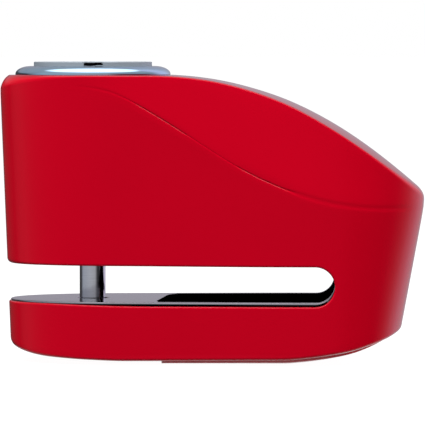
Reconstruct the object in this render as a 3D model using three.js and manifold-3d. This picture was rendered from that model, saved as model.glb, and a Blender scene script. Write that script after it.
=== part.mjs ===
// Disc brake lock: a push-to-lock cylinder carries a steel pin across a slot
// that a brake disc slides into. Two painted half shells close over a steel
// U-shaped core; the cylinder housing slides in the core's vertical bore.
//
// Units are millimetres. While modelling, X = 0, Y = 0 is the pin axis and
// Z = 0 is the face of the lower jaw that the disc rests on: +X runs towards
// the closed, rounded end of the slot, +Z up, and the front shell is on -Y.
// The finished group is moved so that its origin is its bottom centre.

import * as THREE from 'three';
import { mergeVertices } from 'three/addons/utils/BufferGeometryUtils.js';
import Module from 'manifold-3d';

const wasm = await Module();
wasm.setup();

// ---------------------------------------------------------------- dimensions
const GAP = 0.3;              // clearance between neighbouring pieces
const REACH = 40;             // cutters run this far in Y, past both sides

// outline of the body
const LEFT_CENTRE = 6.8;      // centre of the rounded left (-X) end
const LEFT_SEMI = 27.0;       // its semi-axis along X
const LEFT_POWER = 2.2;       // a little fuller than an ellipse
const TAIL_CENTRE = 48.0;     // centre of the rounded tail in plan
const TAIL_SEMI = 24.35;      // its semi-axis along X
const X_LEFT = LEFT_CENTRE - LEFT_SEMI;
const X_RIGHT = TAIL_CENTRE + TAIL_SEMI;
const NOSE_Z = 20.4;          // height of the nose's furthest point
const LEFT_DRAFT_Z = 44.6;    // the left end tapers below this height
const LEFT_DRAFT = 0.0475;    // mm inwards per mm down at the left end
const TAIL_DRAFT = 0.187;     // mm inwards per mm down below the nose
const HOOD_LEAN = 5;          // degrees, panel above the crease leans inwards
const FLAT_HALF = 11;         // half width of the flat strip of the underside

// slot for the brake disc
const SLOT_H = 8.0;
const SLOT_R = SLOT_H / 2;    // radius of its closed end
const SLOT_END_X = 48.0;      // centre of the closed end
const LIP_DROP = 0.7;         // the shell's lower lip lies this far below the steel

// shells
const WALL = 1.7;
const SPLIT = 0.1;            // half of the gap at the parting plane

// locking pin, and the dowel across its upper end
const PIN_R = 2.75;
const PIN_HOLE_R = PIN_R + GAP;
const PIN_TIP_Z = -4.2;
const PIN_TOP_Z = 23.2;
const DOWEL_Z = 21.5;
const DOWEL_HOLE_R = 1.3;

// cylinder housing that is pushed down to lock, and its bore
const HOUSING_R = 12.9;
const HOUSING_BOTTOM = 19.5;
const HOUSING_TOP = 51.45;
const BORE_R = HOUSING_R + GAP;
const BORE_FLOOR = 13.0;
const GUIDE_SCREW_Z = 38;
const NOTCH_HALF = 1.95;      // half width of the notch in housing rim and face

// chrome ring round the cylinder
const BEZEL_R = 16.95;
const BEZEL_TOP = 50.5;

// ------------------------------------------------------------------- helpers
// table rows are [x, value] with x rising; held constant past the ends
function lerpTable(table, x) {
  if (x <= table[0][0]) return table[0][1];
  for (let i = 1; i < table.length; i++) {
    if (x <= table[i][0]) {
      const [x0, value0] = table[i - 1];
      const [x1, value1] = table[i];
      return value0 + ((value1 - value0) * (x - x0)) / (x1 - x0);
    }
  }
  return table[table.length - 1][1];
}
const clamp01 = (value) => Math.min(1, Math.max(0, value));
const smooth = (value) => {
  const t = clamp01(value);
  return t * t * (3 - 2 * t);
};

// closed triangle mesh -> solid
function solidFrom(geometry) {
  const bare = geometry.clone();
  bare.deleteAttribute('normal');
  bare.deleteAttribute('uv');
  const merged = mergeVertices(bare, 1e-4);
  const index = merged.index.array;
  const triangles = [];
  for (let i = 0; i < index.length; i += 3) {
    const [a, b, c] = [index[i], index[i + 1], index[i + 2]];
    if (a !== b && b !== c && c !== a) triangles.push(a, b, c);
  }
  return new wasm.Manifold(new wasm.Mesh({
    numProp: 3,
    vertProperties: new Float32Array(merged.attributes.position.array),
    triVerts: new Uint32Array(triangles),
  }));
}

function geometryFrom(solid) {
  const { numProp, vertProperties, triVerts } = solid.getMesh();
  const count = vertProperties.length / numProp;
  const positions = new Float32Array(count * 3);
  for (let i = 0; i < count; i++) {
    for (let k = 0; k < 3; k++) positions[i * 3 + k] = vertProperties[i * numProp + k];
  }
  const geometry = new THREE.BufferGeometry();
  geometry.setAttribute('position', new THREE.BufferAttribute(positions, 3));
  geometry.setIndex(Array.from(triVerts));
  geometry.computeVertexNormals();
  return geometry;
}

function box(x0, x1, y0, y1, z0, z1) {
  const geometry = new THREE.BoxGeometry(x1 - x0, y1 - y0, z1 - z0);
  geometry.translate((x0 + x1) / 2, (y0 + y1) / 2, (z0 + z1) / 2);
  return solidFrom(geometry);
}
function cylinderZ(radius, z0, z1, segments, x = 0, y = 0, topRadius = radius) {
  const geometry = new THREE.CylinderGeometry(topRadius, radius, z1 - z0, segments);
  geometry.rotateX(Math.PI / 2);
  geometry.translate(x, y, (z0 + z1) / 2);
  return solidFrom(geometry);
}
function cylinderY(radius, y0, y1, x, z, segments) {
  const geometry = new THREE.CylinderGeometry(radius, radius, y1 - y0, segments);
  geometry.translate(x, (y0 + y1) / 2, z);
  return solidFrom(geometry);
}
// box and cylinder that run right across the body
const boxAcross = (x0, x1, z0, z1) => box(x0, x1, -REACH, REACH, z0, z1);
const cylinderAcross = (radius, x, z, segments) =>
  cylinderY(radius, -REACH, REACH, x, z, segments);

// solid of revolution about Z from a closed loop of [radius, z]
function lathe(profile, segments) {
  const points = profile.map(([radius, z]) => new THREE.Vector2(radius, z));
  if (profile[0][0] > 1e-6) points.push(points[0].clone());
  const geometry = new THREE.LatheGeometry(points, segments);
  geometry.rotateX(Math.PI / 2);
  const solid = solidFrom(geometry);
  if (solid.volume() >= 0) return solid;
  // the loop ran the other way round: turn the faces outwards
  geometry.index.array.reverse();
  return solidFrom(geometry);
}
// geometry swept from an [x, y] polygon, by default straight up from Z = 0
function extrude(polygon, options) {
  const shape = new THREE.Shape(polygon.map(([x, y]) => new THREE.Vector2(x, y)));
  shape.closePath();
  return new THREE.ExtrudeGeometry(shape, { bevelEnabled: false, ...options });
}
const union = (first, ...rest) => rest.reduce((a, b) => a.add(b), first);
const minus = (first, ...rest) => rest.reduce((a, b) => a.subtract(b), first);

// ----------------------------------------------------------------- materials
const RED = 0xbb001c;
const CHROME = 0xb4c6d2;
const STEEL = 0x9a9ca6;
const BLACK = 0x0b0b0d;
const BRASS = 0xb59a55;
const DARK_STEEL = 0x6a6c72;
const SPRING_STEEL = 0x8d9096;

const metal = ({ color, roughness }) => ({ color, roughness, metalness: 1 });
const nonMetal = ({ color, roughness }) => ({ color, roughness, metalness: 0 });
const FINISH = {
  shellPaint: nonMetal({ color: RED, roughness: 0.18 }),
  platePaint: nonMetal({ color: RED, roughness: 0.22 }),
  liner: nonMetal({ color: BLACK, roughness: 0.5 }),
  seal: nonMetal({ color: BLACK, roughness: 0.7 }),
  mirrorChrome: metal({ color: CHROME, roughness: 0.08 }),
  housingChrome: metal({ color: CHROME, roughness: 0.2 }),
  faceChrome: metal({ color: CHROME, roughness: 0.25 }),
  pinSteel: metal({ color: STEEL, roughness: 0.2 }),
  coreSteel: metal({ color: STEEL, roughness: 0.25 }),
  latchSteel: metal({ color: STEEL, roughness: 0.3 }),
  shieldSteel: metal({ color: DARK_STEEL, roughness: 0.3 }),
  darkSteel: metal({ color: DARK_STEEL, roughness: 0.35 }),
  plugBrass: metal({ color: BRASS, roughness: 0.3 }),
  brass: metal({ color: BRASS, roughness: 0.35 }),
  spring: metal({ color: SPRING_STEEL, roughness: 0.35 }),
};

const lock = new THREE.Group();
function addPart(name, solid, finish) {
  const mesh = new THREE.Mesh(geometryFrom(solid), new THREE.MeshStandardMaterial(finish));
  mesh.name = name;
  lock.add(mesh);
}

// ------------------------------------------------- shape of the body's outside
// half width of the plan outline: widening sides that level off towards the
// tail, times the rounding of either end
function halfWidth(x) {
  const along = Math.min(Math.max(x - 34, 0), 14);
  const side = x < 34 ? 19.1 + 0.08 * x : 21.82 + 0.08 * along - (0.08 * along * along) / 28;
  const left = clamp01((LEFT_CENTRE - x) / LEFT_SEMI);
  const tail = clamp01((x - TAIL_CENTRE) / TAIL_SEMI);
  return side * (1 - left ** LEFT_POWER) ** (1 / LEFT_POWER) * Math.sqrt(1 - tail * tail);
}
// [x, z] ridge line of the top, from the flat top down to the nose
const RIDGE = [
  [-25, 48.55], [14, 48.55], [18, 48.47], [21.5, 48.19], [24.9, 47.72], [28.3, 47.16],
  [31.7, 46.5], [35.1, 45.7], [38.5, 44.62], [42, 43.34], [45.4, 41.8], [48.8, 40.13],
  [52.2, 38.2], [55.6, 36.1], [59, 33.82], [62.5, 31.2], [66, 28.4], [69.7, 25.3],
  [72.35, 23.0], [76, 19.8],
];
// [x, fall per y squared] of the top from the ridge towards the sides
const CROWN = [
  [14, 0.0001], [18, 0.0002], [28, 0.0006], [35, 0.0011], [42, 0.0016], [48.8, 0.0024],
  [52.2, 0.0028], [59, 0.0036], [66, 0.0048], [72.4, 0.006],
];
// [x, z] of the flat strip along the underside
const KEEL = [
  [-18, -9.3], [-17.5, -9.75], [-16.6, -10.4], [-15.7, -10.75], [-14, -11.2], [-12.3, -11.6],
  [-10.5, -11.85], [-8.8, -12.1], [-7, -12.25], [-3.5, -12.55], [0, -12.8], [3.5, -12.95],
  [8, -13.1], [42, -13.1], [43.6, -13.0], [45.3, -12.85], [47, -12.7], [48.8, -12.45],
  [50.5, -12.2], [52.3, -11.9], [54, -11.55], [55.8, -11.15], [57.5, -10.7], [59.3, -10.05],
  [61, -9.3], [62.7, -8.65], [64.5, -7.95], [66.2, -7.2], [67.5, -6.6], [70, -5.4],
];
// [x, z] of the S-shaped crease along the side
const CREASE = [
  [-1, 46.18], [2.5, 45.76], [6.8, 44.3], [10.4, 42.3], [13.2, 40.85], [17.5, 38.4],
  [22, 35.4], [26, 32.75], [30.3, 30.1], [36.7, 26.75], [41, 24.9], [43.8, 23.8],
  [50.2, 21.8], [55.9, 20.8], [60.7, 20.3], [68, 20.0], [72.35, 20.3],
];
const topZ = (x, y) => lerpTable(RIDGE, x) - lerpTable(CROWN, x) * y * y;
function bottomZ(x, y) {
  const over = Math.max(0, Math.abs(y) - FLAT_HALF);
  return lerpTable(KEEL, x) + 0.0125 * over * over;
}

// points round the plan outline, anticlockwise from the left end, each with its
// outward normal and how far it lies into either rounded end (0 to 1)
function planStations() {
  const LEFT_STEPS = 7;
  const MIDDLE_STEPS = 5;
  const TAIL_STEPS = 8;
  const quarter = Math.PI / 2;
  const xs = [];
  for (let i = 0; i < LEFT_STEPS; i++) {
    xs.push(LEFT_CENTRE - LEFT_SEMI * Math.cos((i / LEFT_STEPS) * quarter));
  }
  for (let i = 0; i < MIDDLE_STEPS; i++) {
    xs.push(LEFT_CENTRE + ((TAIL_CENTRE - LEFT_CENTRE) * i) / MIDDLE_STEPS);
  }
  for (let i = 0; i <= TAIL_STEPS; i++) {
    xs.push(TAIL_CENTRE + TAIL_SEMI * Math.sin((i / TAIL_STEPS) * quarter));
  }
  const front = xs.map((x) => [x, -halfWidth(x)]);
  const rear = xs.slice(1, -1).reverse().map((x) => [x, halfWidth(x)]);
  const loop = [...front, ...rear];
  return loop.map(([x, y], i) => {
    const before = loop[(i + loop.length - 1) % loop.length];
    const after = loop[(i + 1) % loop.length];
    const dx = after[0] - before[0];
    const dy = after[1] - before[1];
    const length = Math.hypot(dx, dy);
    return {
      x,
      y,
      normalX: dy / length,
      normalY: -dx / length,
      left: clamp01((LEFT_CENTRE - x) / LEFT_SEMI),
      tail: clamp01((x - TAIL_CENTRE) / TAIL_SEMI),
    };
  });
}
const STATIONS = planStations();

// repeats a step until the height where wall and top or underside meet settles
function settle(z, nextZ) {
  for (let k = 0; k < 8; k++) z = nextZ(z);
  return z;
}
const bezier = (start, control, end, t) =>
  start.map((v, k) => (1 - t) ** 2 * v + 2 * t * (1 - t) * control[k] + t * t * end[k]);

// points of the skin at one station, from the spine of the underside, up the
// wall, to the spine of the top
function skinRow({ x, y, normalX, normalY, left, tail }, inset, drop) {
  const wallAt = (z, extra = 0) => [
    x + LEFT_DRAFT * Math.max(0, LEFT_DRAFT_Z - z) * left ** 2
      - TAIL_DRAFT * Math.max(0, NOSE_Z - z) * tail ** 2 - normalX * (inset + extra),
    y - normalY * (inset + extra),
    z,
  ];
  // the lean fades in at the left and out towards the nose
  const crease = lerpTable(CREASE, x);
  const lean = Math.tan((HOOD_LEAN * Math.PI) / 180)
    * smooth((x + 3) / 12) * (1 - smooth((x - 58) / 14));
  const leaningWallAt = (z) => wallAt(z, Math.max(0, z - crease) * lean);

  const onTop = ([px, py]) => [px, py, topZ(px, py) - inset];
  const onBottom = ([px, py]) => [px, py, bottomZ(px, py) + inset - drop];
  const inward = ([px, py], distance) => [px - normalX * distance, py - normalY * distance];
  const spineX = -8 + ((x - X_LEFT) / (X_RIGHT - X_LEFT)) * 62;
  const toSpine = ([px, py], t) => [px + (spineX - px) * t, py * (1 - t)];

  const topEdgeZ = settle(45, (z) => onTop(leaningWallAt(z))[2]);
  const bottomEdgeZ = settle(-12, (z) => onBottom(wallAt(z))[2]);

  // edge rounding: its reach down or up the wall, and across the top or underside
  const shrink = inset > 0 ? 0.6 : 1;
  const topDown = shrink * (1.3 + 2.6 * left ** 3 + 1.4 * tail ** 2);
  const topAcross = shrink * (0.9 + 1.2 * left ** 3 + 2.1 * tail ** 2);
  const bottomUp = shrink * 1.0;
  const bottomAcross = shrink * 1.2;

  const bottomCorner = wallAt(bottomEdgeZ);
  const bottomInner = onBottom(inward(bottomCorner, bottomAcross));
  const wallFoot = wallAt(bottomEdgeZ + bottomUp);
  const wallHead = leaningWallAt(topEdgeZ - topDown);
  const topCorner = leaningWallAt(topEdgeZ);
  const topInner = onTop(inward(topCorner, topAcross));
  return [
    onBottom([spineX, 0]),
    onBottom(toSpine(bottomInner, 0.42)),
    bottomInner,
    bezier(bottomInner, bottomCorner, wallFoot, 0.5),
    wallFoot,
    wallAt(Math.min(crease, topEdgeZ - topDown - 0.3)),
    wallHead,
    bezier(wallHead, topCorner, topInner, 0.33),
    bezier(wallHead, topCorner, topInner, 0.67),
    topInner,
    onTop(toSpine(topInner, 0.45)),
    onTop([spineX, 0]),
  ];
}

// closed solid bounded by the body's outside, moved inwards by `inset`;
// `drop` moves only the underside down
function bodySolid(inset, drop = 0) {
  const rows = STATIONS.map((station) => skinRow(station, inset, drop));
  const positions = [];
  rows.forEach((row, i) => {
    const next = rows[(i + 1) % rows.length];
    for (let j = 0; j + 1 < row.length; j++) {
      positions.push(...row[j], ...next[j], ...next[j + 1]);
      positions.push(...row[j], ...next[j + 1], ...row[j + 1]);
    }
  });
  const geometry = new THREE.BufferGeometry();
  geometry.setAttribute('position', new THREE.Float32BufferAttribute(positions, 3));
  return solidFrom(geometry);
}

// slot open towards -X with a round closed end
const slotShape = (endX, z0, z1) => union(
  boxAcross(-40, endX, z0, z1),
  cylinderAcross((z1 - z0) / 2, endX, (z0 + z1) / 2, 28));

// --------------------------------------------------- cover plate and its recess
const PLATE_X0 = 15.5;
const PLATE_X1 = 65.4;
const PLATE_INSET = 2.2;      // plate edge inside the plan outline
const PLATE_Z = -13.4;        // flat underside of the cover plate
const PLATE_SCREWS_X = [20.5, 40.5];
const PLATE_SCREW_WAY_R = 1.6; // hole through shells and core

// plate outline, grown sideways, as a prism through the underside
function platePrism(grow) {
  const STEPS = 16;
  const side = [];
  for (let i = 0; i <= STEPS; i++) {
    const left = 1 - i / STEPS;
    const x = PLATE_X0 - grow + (PLATE_X1 - PLATE_X0 + 2 * grow) * (1 - left * left * left);
    const taper = TAIL_DRAFT * 18 * clamp01((x - 40) / 24);
    const outlineX = Math.min(x + PLATE_INSET * 1.6 + taper, X_RIGHT);
    side.push([x, Math.max(halfWidth(outlineX) - PLATE_INSET + grow, 1.0)]);
  }
  // small corner radius at the square end
  side[0][1] -= 1.5;
  side.splice(1, 0, [PLATE_X0 - grow + 0.45, side[0][1] + 1.05]);
  const front = side.map(([x, y]) => [x, -y]);
  const geometry = extrude([...front, ...side.reverse()], { depth: 14 });
  geometry.translate(0, 0, -18);
  return solidFrom(geometry);
}

// proud of the shells, and ground flat where it rests
function coverPlate() {
  const skin = bodySolid(0, 0.38).subtract(bodySolid(0.7));
  let plate = platePrism(0).intersect(skin).intersect(boxAcross(0, 100, PLATE_Z, 20));
  for (const x of PLATE_SCREWS_X) {
    plate = minus(plate,
      cylinderZ(1.5, -20, -5, 20, x),
      cylinderZ(2.6, PLATE_Z - 0.1, PLATE_Z + 1.05, 20, x, 0, 1.45)); // countersink
  }
  return plate;
}

// countersunk, with a hexagon socket
const plateScrew = (x) => union(
  cylinderZ(1.2, PLATE_Z + 0.8, PLATE_Z + 5.6, 16, x),
  cylinderZ(2.2, PLATE_Z + 0.05, PLATE_Z + 1.05, 20, x, 0, 1.2))
  .subtract(cylinderZ(1.0, PLATE_Z - 1, PLATE_Z + 0.75, 6, x));

// ---------------------------------------------------------------- shell screws
// run along Y, heads in the rear shell, threads in the front one
const HEAD_R = 2.3;
const HEAD_H = 1.8;
const SHANK_R = 1.25;
const BOSS_R = 3.9;           // round the head
const THREAD_BOSS_R = BOSS_R - 1;
// [x, z, depth of the head's underside below the rear outline]
const SHELL_SCREWS = [[57.0, 19.5, 4.2], [40.0, 33.5, 3.5], [60.0, -3.6, 4.2]]
  .map(([x, z, depth]) => ({ x, z, frontY: -halfWidth(x), headY: halfWidth(x) - depth }));

const shellScrew = ({ x, z, frontY, headY }) => union(
  cylinderY(SHANK_R, frontY + 6.2, headY + 0.5, x, z, 16),
  cylinderY(HEAD_R, headY, headY + HEAD_H, x, z, 24))
  .subtract(cylinderY(1.15, headY + 0.6, headY + HEAD_H + 1, x, z, 6));

// ------------------------------------------------------------------ half shells
const wallSkin = bodySolid(0).subtract(bodySolid(WALL));
const midWall = bodySolid(WALL / 2);
const shellOpenings = [
  slotShape(SLOT_END_X + 0.3, -LIP_DROP, SLOT_H),
  cylinderZ(15.4, 40, 60, 36), // bezel hole
  platePrism(0.25).subtract(bodySolid(0.75)),
];

// boss(screw) and holes(screw) give the side's own boss and list of cutters
function halfShell({ y0, y1, boss, holes }) {
  let shell = wallSkin;
  for (const screw of SHELL_SCREWS) shell = shell.add(boss(screw).intersect(midWall));
  shell = shell.intersect(box(-60, 100, y0, y1, -40, 80));
  return minus(shell, ...shellOpenings, ...SHELL_SCREWS.flatMap(holes),
    ...PLATE_SCREWS_X.map((x) => cylinderZ(PLATE_SCREW_WAY_R, -20, -5, 16, x)));
}

addPart('front_shell', halfShell({
  y0: -REACH,
  y1: -SPLIT,
  boss: ({ x, z }) => cylinderY(THREAD_BOSS_R, -30, -SPLIT, x, z, 20),
  holes: ({ x, z, frontY }) => [cylinderY(SHANK_R + GAP, frontY + 5.5, 1, x, z, 16)],
}), FINISH.shellPaint);
addPart('rear_shell', halfShell({
  y0: SPLIT,
  y1: REACH,
  boss: ({ x, z }) => cylinderY(BOSS_R, SPLIT, 30, x, z, 20),
  holes: ({ x, z, headY }) => [
    cylinderY(SHANK_R + GAP, -1, REACH, x, z, 16),
    cylinderY(HEAD_R + GAP, headY - GAP, REACH, x, z, 24),
  ],
}), FINISH.shellPaint);

// -------------------------------------------------- steel core and throat liner
const CORE_END = 55.6;
const CORE_SLOT_TOP = SLOT_H + 0.02;
const RIM_END_X = SLOT_END_X + 0.15;
const LINER_T = 1.2;          // thickness of the liner
const LINER_ROOF_X0 = 43.8;   // start of its strip along the slot's roof
const LINER_INSET = 2.9;      // its edges inside the body's outside
const slotSpace = slotShape(SLOT_END_X, 0, SLOT_H);

// strip along the floor of the slot, with a slanting, rounded end
function linerFloor(z0, z1, grow) {
  const front = 14.6 - grow;
  const rear = 16.2 - grow;
  const geometry = extrude([
    [front + 1.0, -30], [front + 0.1, -14], [front, -12.4],
    [rear, 12.0], [rear + 0.5, 14], [rear + 1.6, 16], [rear + 4, 30],
    [SLOT_END_X, 30], [SLOT_END_X, -30],
  ], { depth: z1 - z0 });
  geometry.translate(0, 0, z0);
  return solidFrom(geometry);
}

function steelCore() {
  const body = bodySolid(WALL + GAP).intersect(union(
    boxAcross(-30, 19, CORE_SLOT_TOP, 46.4),
    boxAcross(18, 50, CORE_SLOT_TOP, 22),
    boxAcross(46, CORE_END, -20, 13),
    boxAcross(-30, CORE_END, -20, 0)));
  // thin rim round the slot that covers the cut edges of the shells
  const rim = bodySolid(0.4).intersect(union(
    boxAcross(-30, RIM_END_X, -0.4, 0),
    cylinderAcross(4.2, RIM_END_X, 3.8, 28).intersect(boxAcross(SLOT_END_X, 60, -1, 7.4))));
  const seatDepth = LINER_T + GAP;
  const linerSeat = union(
    linerFloor(-seatDepth, 1, GAP),
    cylinderAcross(SLOT_R + seatDepth, SLOT_END_X, SLOT_R, 28),
    boxAcross(LINER_ROOF_X0 - GAP, SLOT_END_X, 6, SLOT_H + seatDepth))
    .intersect(bodySolid(LINER_INSET - GAP));
  return minus(body.add(rim), linerSeat, slotSpace,
    cylinderZ(BORE_R, BORE_FLOOR, 60, 32),
    cylinderZ(15.3, 41.7, 60, 32),                       // bezel seat
    cylinderZ(5.5, 4, BORE_FLOOR + 1, 28),               // bush seat
    cylinderZ(PIN_HOLE_R, -7.2, 1, 28),                  // pin socket
    cylinderZ(PIN_HOLE_R, -0.6, 0.05, 28, 0, 0, PIN_HOLE_R + 0.55), // its flared mouth
    box(0, 15.7, -4.45, 4.45, 23.4, 40.2),               // way for the latch
    cylinderY(2.3, 11, 30, 0, GUIDE_SCREW_Z, 20),
    ...PLATE_SCREWS_X.map((x) => cylinderZ(PLATE_SCREW_WAY_R, -20, -7.2, 16, x)),
    // relief round the shells' bosses
    ...SHELL_SCREWS.map(({ x, z }) => cylinderAcross(BOSS_R + GAP, x, z, 24)));
}
addPart('steel_core', steelCore(), FINISH.coreSteel);

function throatLiner() {
  const end = cylinderAcross(SLOT_R + LINER_T, SLOT_END_X, SLOT_R, 28)
    .subtract(box(0, SLOT_END_X, -50, 50, -10, 20));
  const roof = boxAcross(LINER_ROOF_X0, SLOT_END_X, SLOT_H, SLOT_H + LINER_T);
  return union(linerFloor(-LINER_T, 0, 0), end, roof)
    .subtract(slotSpace)
    .intersect(bodySolid(LINER_INSET));
}
addPart('throat_liner', throatLiner(), FINISH.liner);

addPart('bottom_plate', coverPlate(), FINISH.platePaint);
PLATE_SCREWS_X.forEach((x, i) => {
  addPart(`plate_screw_${i + 1}`, plateScrew(x), FINISH.darkSteel);
});
SHELL_SCREWS.forEach((screw, i) => {
  addPart(`shell_screw_${i + 1}`, shellScrew(screw), FINISH.darkSteel);
});

// ---------------------------------------------------------- chrome ring and seal
addPart('bezel_ring', lathe([
  [BORE_R, 48.1], [BORE_R, 50.1], [13.6, BEZEL_TOP], [14.8, 50.36], [15.9, 49.85],
  [16.65, 49.1], [BEZEL_R, 48.6], [15.0, 48.6], [15.0, 42.0],
  [14.1, 42.0], [14.1, 48.1]], 32), FINISH.mirrorChrome);
addPart('wiper_seal', lathe([
  [BORE_R, 42.3], [BORE_R, 47.7], [13.8, 47.7], [13.8, 42.3]], 32), FINISH.seal);

// ------------------------------------------------------------- cylinder housing
const housingBlank = lathe([
  [0, HOUSING_BOTTOM], [12.5, HOUSING_BOTTOM], [HOUSING_R, HOUSING_BOTTOM + 0.4],
  [HOUSING_R, HOUSING_TOP - 0.3], [12.6, HOUSING_TOP], [11.4, HOUSING_TOP],
  [11.4, 50.2], [7.0, 50.2], [7.0, 29.4], [5.4, 29.4], [5.4, 26.6], [0, 26.6]], 32);
addPart('cylinder_housing', minus(housingBlank,
  box(-9.2, 20, -4.3, 4.3, 23.6, 26.65),                // latch channel
  cylinderZ(PIN_HOLE_R, 18, 24, 28),
  cylinderY(DOWEL_HOLE_R, -20, 20, 0, DOWEL_Z, 16),
  box(-1.9, 1.9, 10.6, 20, 23.6, 39.9),                 // groove for the guide screw
  box(-1.1, 1.1, 0, 7.9, 31, 48.2),                     // recess for the side bar
  box(-NOTCH_HALF, NOTCH_HALF, -20, -10, HOUSING_TOP - 0.75, 60)), // index notch
FINISH.housingChrome);

addPart('face_plate', lathe([[5.3, 50.5], [11.1, 50.5], [11.1, 51.1], [5.3, 51.1]], 32)
  .subtract(box(-NOTCH_HALF, NOTCH_HALF, -20, -10.2, 50, 60)), FINISH.faceChrome);

// ------------------------------------------------------------------ key barrel
const plugBlank = lathe([
  [0, 29.7], [6.7, 29.7], [6.7, 49.9], [5.0, 49.9], [5.0, 51.1], [4.4, 51.1],
  [4.4, 50.3], [0, 50.3]], 32);
addPart('key_plug', minus(plugBlank,
  cylinderZ(5.7, 31.4, 48.9, 32),                       // room for the discs
  box(-1.1, 1.1, -3.4, 3.4, 30, 60),                    // keyway
  box(-2.3, 2.3, -2.3, 2.3, 29, 32),                    // socket for the cam's stub
  box(-1.05, 1.05, 4.5, 8, 31.4, 47.8)),                // slit for the side bar
FINISH.plugBrass);

addPart('keyhole_shield', lathe([[0, 50.6], [4.1, 50.6], [4.1, 50.95], [0, 50.95]], 24)
  .subtract(box(-0.9, 0.9, -3.2, 3.2, 50, 52)), FINISH.shieldSteel);

const DISC_Z0 = 32.2;
const DISC_PITCH = 2.6;
const DISC_T = 1.9;
const BORING_CIRCLE_R = 4.4;  // small round boring through each disc
const BORING_ANGLES = [0, 0.6, -0.5, 0.9, -0.8, 0.3].map((turn) => turn - 1.5); // radians
BORING_ANGLES.forEach((angle, i) => {
  const z = DISC_Z0 + DISC_PITCH * i;
  const x = BORING_CIRCLE_R * Math.cos(angle);
  const y = BORING_CIRCLE_R * Math.sin(angle);
  addPart(`lock_disc_${i + 1}`, minus(cylinderZ(5.4, z, z + DISC_T, 20),
    box(-1.3, 1.3, -3.3, 3.3, z - 1, z + 3),            // keyway
    box(-1.0, 1.0, 4.0, 6, z - 1, z + 3),               // notch for the side bar
    cylinderZ(0.35, z - 1, z + 3, 8, x, y)), FINISH.brass);
});
addPart('side_bar', box(-0.7, 0.7, 4.6, 6.5, 31.9, 47.4), FINISH.latchSteel);

// --------------------------------------------------------------- cam and latch
const PEG_OFFSET = 2.12 * Math.SQRT1_2; // peg 2.12 from the barrel axis, at 45 degrees
// square stub up into the plug, peg down into the latch
addPart('drive_cam', union(
  cylinderZ(5.0, 26.9, 29.1, 28),
  box(-2, 2, -2, 2, 29, 31.1),
  cylinderZ(0.9, 24.2, 27, 16, PEG_OFFSET, -PEG_OFFSET)), FINISH.darkSteel);

const SPRING_Y = 2.0;         // axis of the latch spring and its hole
const SPRING_Z = 25.1;

function latchBolt() {
  const slotR = 1.2;
  const [slotY0, slotY1] = [-2.2, -1.5];
  const pegSlot = union(
    cylinderZ(slotR, 23, 27, 16, PEG_OFFSET, slotY1),
    cylinderZ(slotR, 23, 27, 16, PEG_OFFSET, slotY0),
    box(PEG_OFFSET - slotR, PEG_OFFSET + slotR, slotY0, slotY1, 23, 27));
  const springHole = new THREE.CylinderGeometry(0.95, 0.95, 4.5, 14);
  springHole.rotateZ(Math.PI / 2);
  springHole.translate(-2.6, SPRING_Y, SPRING_Z);
  // slanted lead under the nose, as an [x, z] triangle swept along Y
  const lead = extrude([[13.4, 23.5], [15.5, 23.5], [15.5, 25.4]], { depth: 12 });
  lead.rotateX(Math.PI / 2);
  lead.translate(0, 6, 0);
  return minus(box(-4.5, 14.9, -4.0, 4.0, 23.9, 26.3),
    pegSlot, solidFrom(springHole), solidFrom(lead));
}
addPart('latch_bolt', latchBolt(), FINISH.latchSteel);

// --------------------------------------------------------------------- springs
// coil about Z between z0 and z1; half a turn lies flat at either end
function coil({ radius, wireR, turns, z0, z1, steps, sides }) {
  const FLAT_TURNS = 0.5;
  class Helix extends THREE.Curve {
    getPoint(t, target = new THREE.Vector3()) {
      const angle = t * turns * Math.PI * 2;
      const rise = clamp01((t * turns - FLAT_TURNS) / (turns - 2 * FLAT_TURNS));
      const z = z0 + wireR + (z1 - z0 - 2 * wireR) * rise;
      return target.set(radius * Math.cos(angle), radius * Math.sin(angle), z);
    }
  }
  const wireSection = Array.from({ length: sides }, (_, i) => {
    const angle = (i / sides) * Math.PI * 2;
    return [wireR * Math.cos(angle), wireR * Math.sin(angle)];
  });
  return extrude(wireSection, { steps, extrudePath: new Helix() });
}
addPart('return_spring', solidFrom(coil({
  radius: 9.6, wireR: 0.5, turns: 4, z0: 13.2, z1: 19.2, steps: 52, sides: 5,
})), FINISH.spring);

const latchCoil = coil({
  radius: 0.55, wireR: 0.14, turns: 5, z0: 0, z1: 7.6, steps: 36, sides: 4,
});
latchCoil.rotateY(Math.PI / 2);
latchCoil.translate(-8.9, SPRING_Y, SPRING_Z);
addPart('latch_spring', solidFrom(latchCoil), FINISH.spring);

// -------------------------------------------------------------- pin and guides
addPart('locking_pin', lathe([
  [0, PIN_TIP_Z], [1.95, PIN_TIP_Z], [PIN_R, PIN_TIP_Z + 0.9],
  [PIN_R, PIN_TOP_Z], [0, PIN_TOP_Z]], 32)
  .subtract(cylinderY(DOWEL_HOLE_R, -10, 10, 0, DOWEL_Z, 16)), FINISH.pinSteel);
addPart('pin_cross_dowel', cylinderY(1.0, -11.5, 11.5, 0, DOWEL_Z, 16), FINISH.darkSteel);
addPart('pin_guide_bush', lathe([
  [PIN_HOLE_R, 8.1], [5.2, 8.1], [5.2, BORE_FLOOR + 0.3], [7.0, BORE_FLOOR + 0.3],
  [7.0, BORE_FLOOR + 1.3], [PIN_HOLE_R, BORE_FLOOR + 1.3]], 28), FINISH.brass);
addPart('guide_screw', union(
  cylinderY(2.0, 13.4, 15.7, 0, GUIDE_SCREW_Z, 18),
  cylinderY(1.6, 11.0, 13.5, 0, GUIDE_SCREW_Z, 18))
  .subtract(cylinderY(0.9, 14.6, 17, 0, GUIDE_SCREW_Z, 6)), FINISH.darkSteel);

// origin: bottom centre of the whole lock
lock.updateMatrixWorld(true);
const { min, max } = new THREE.Box3().setFromObject(lock, true);
lock.position.set(-(min.x + max.x) / 2, -(min.y + max.y) / 2, -min.z);

export default lock;
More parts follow.
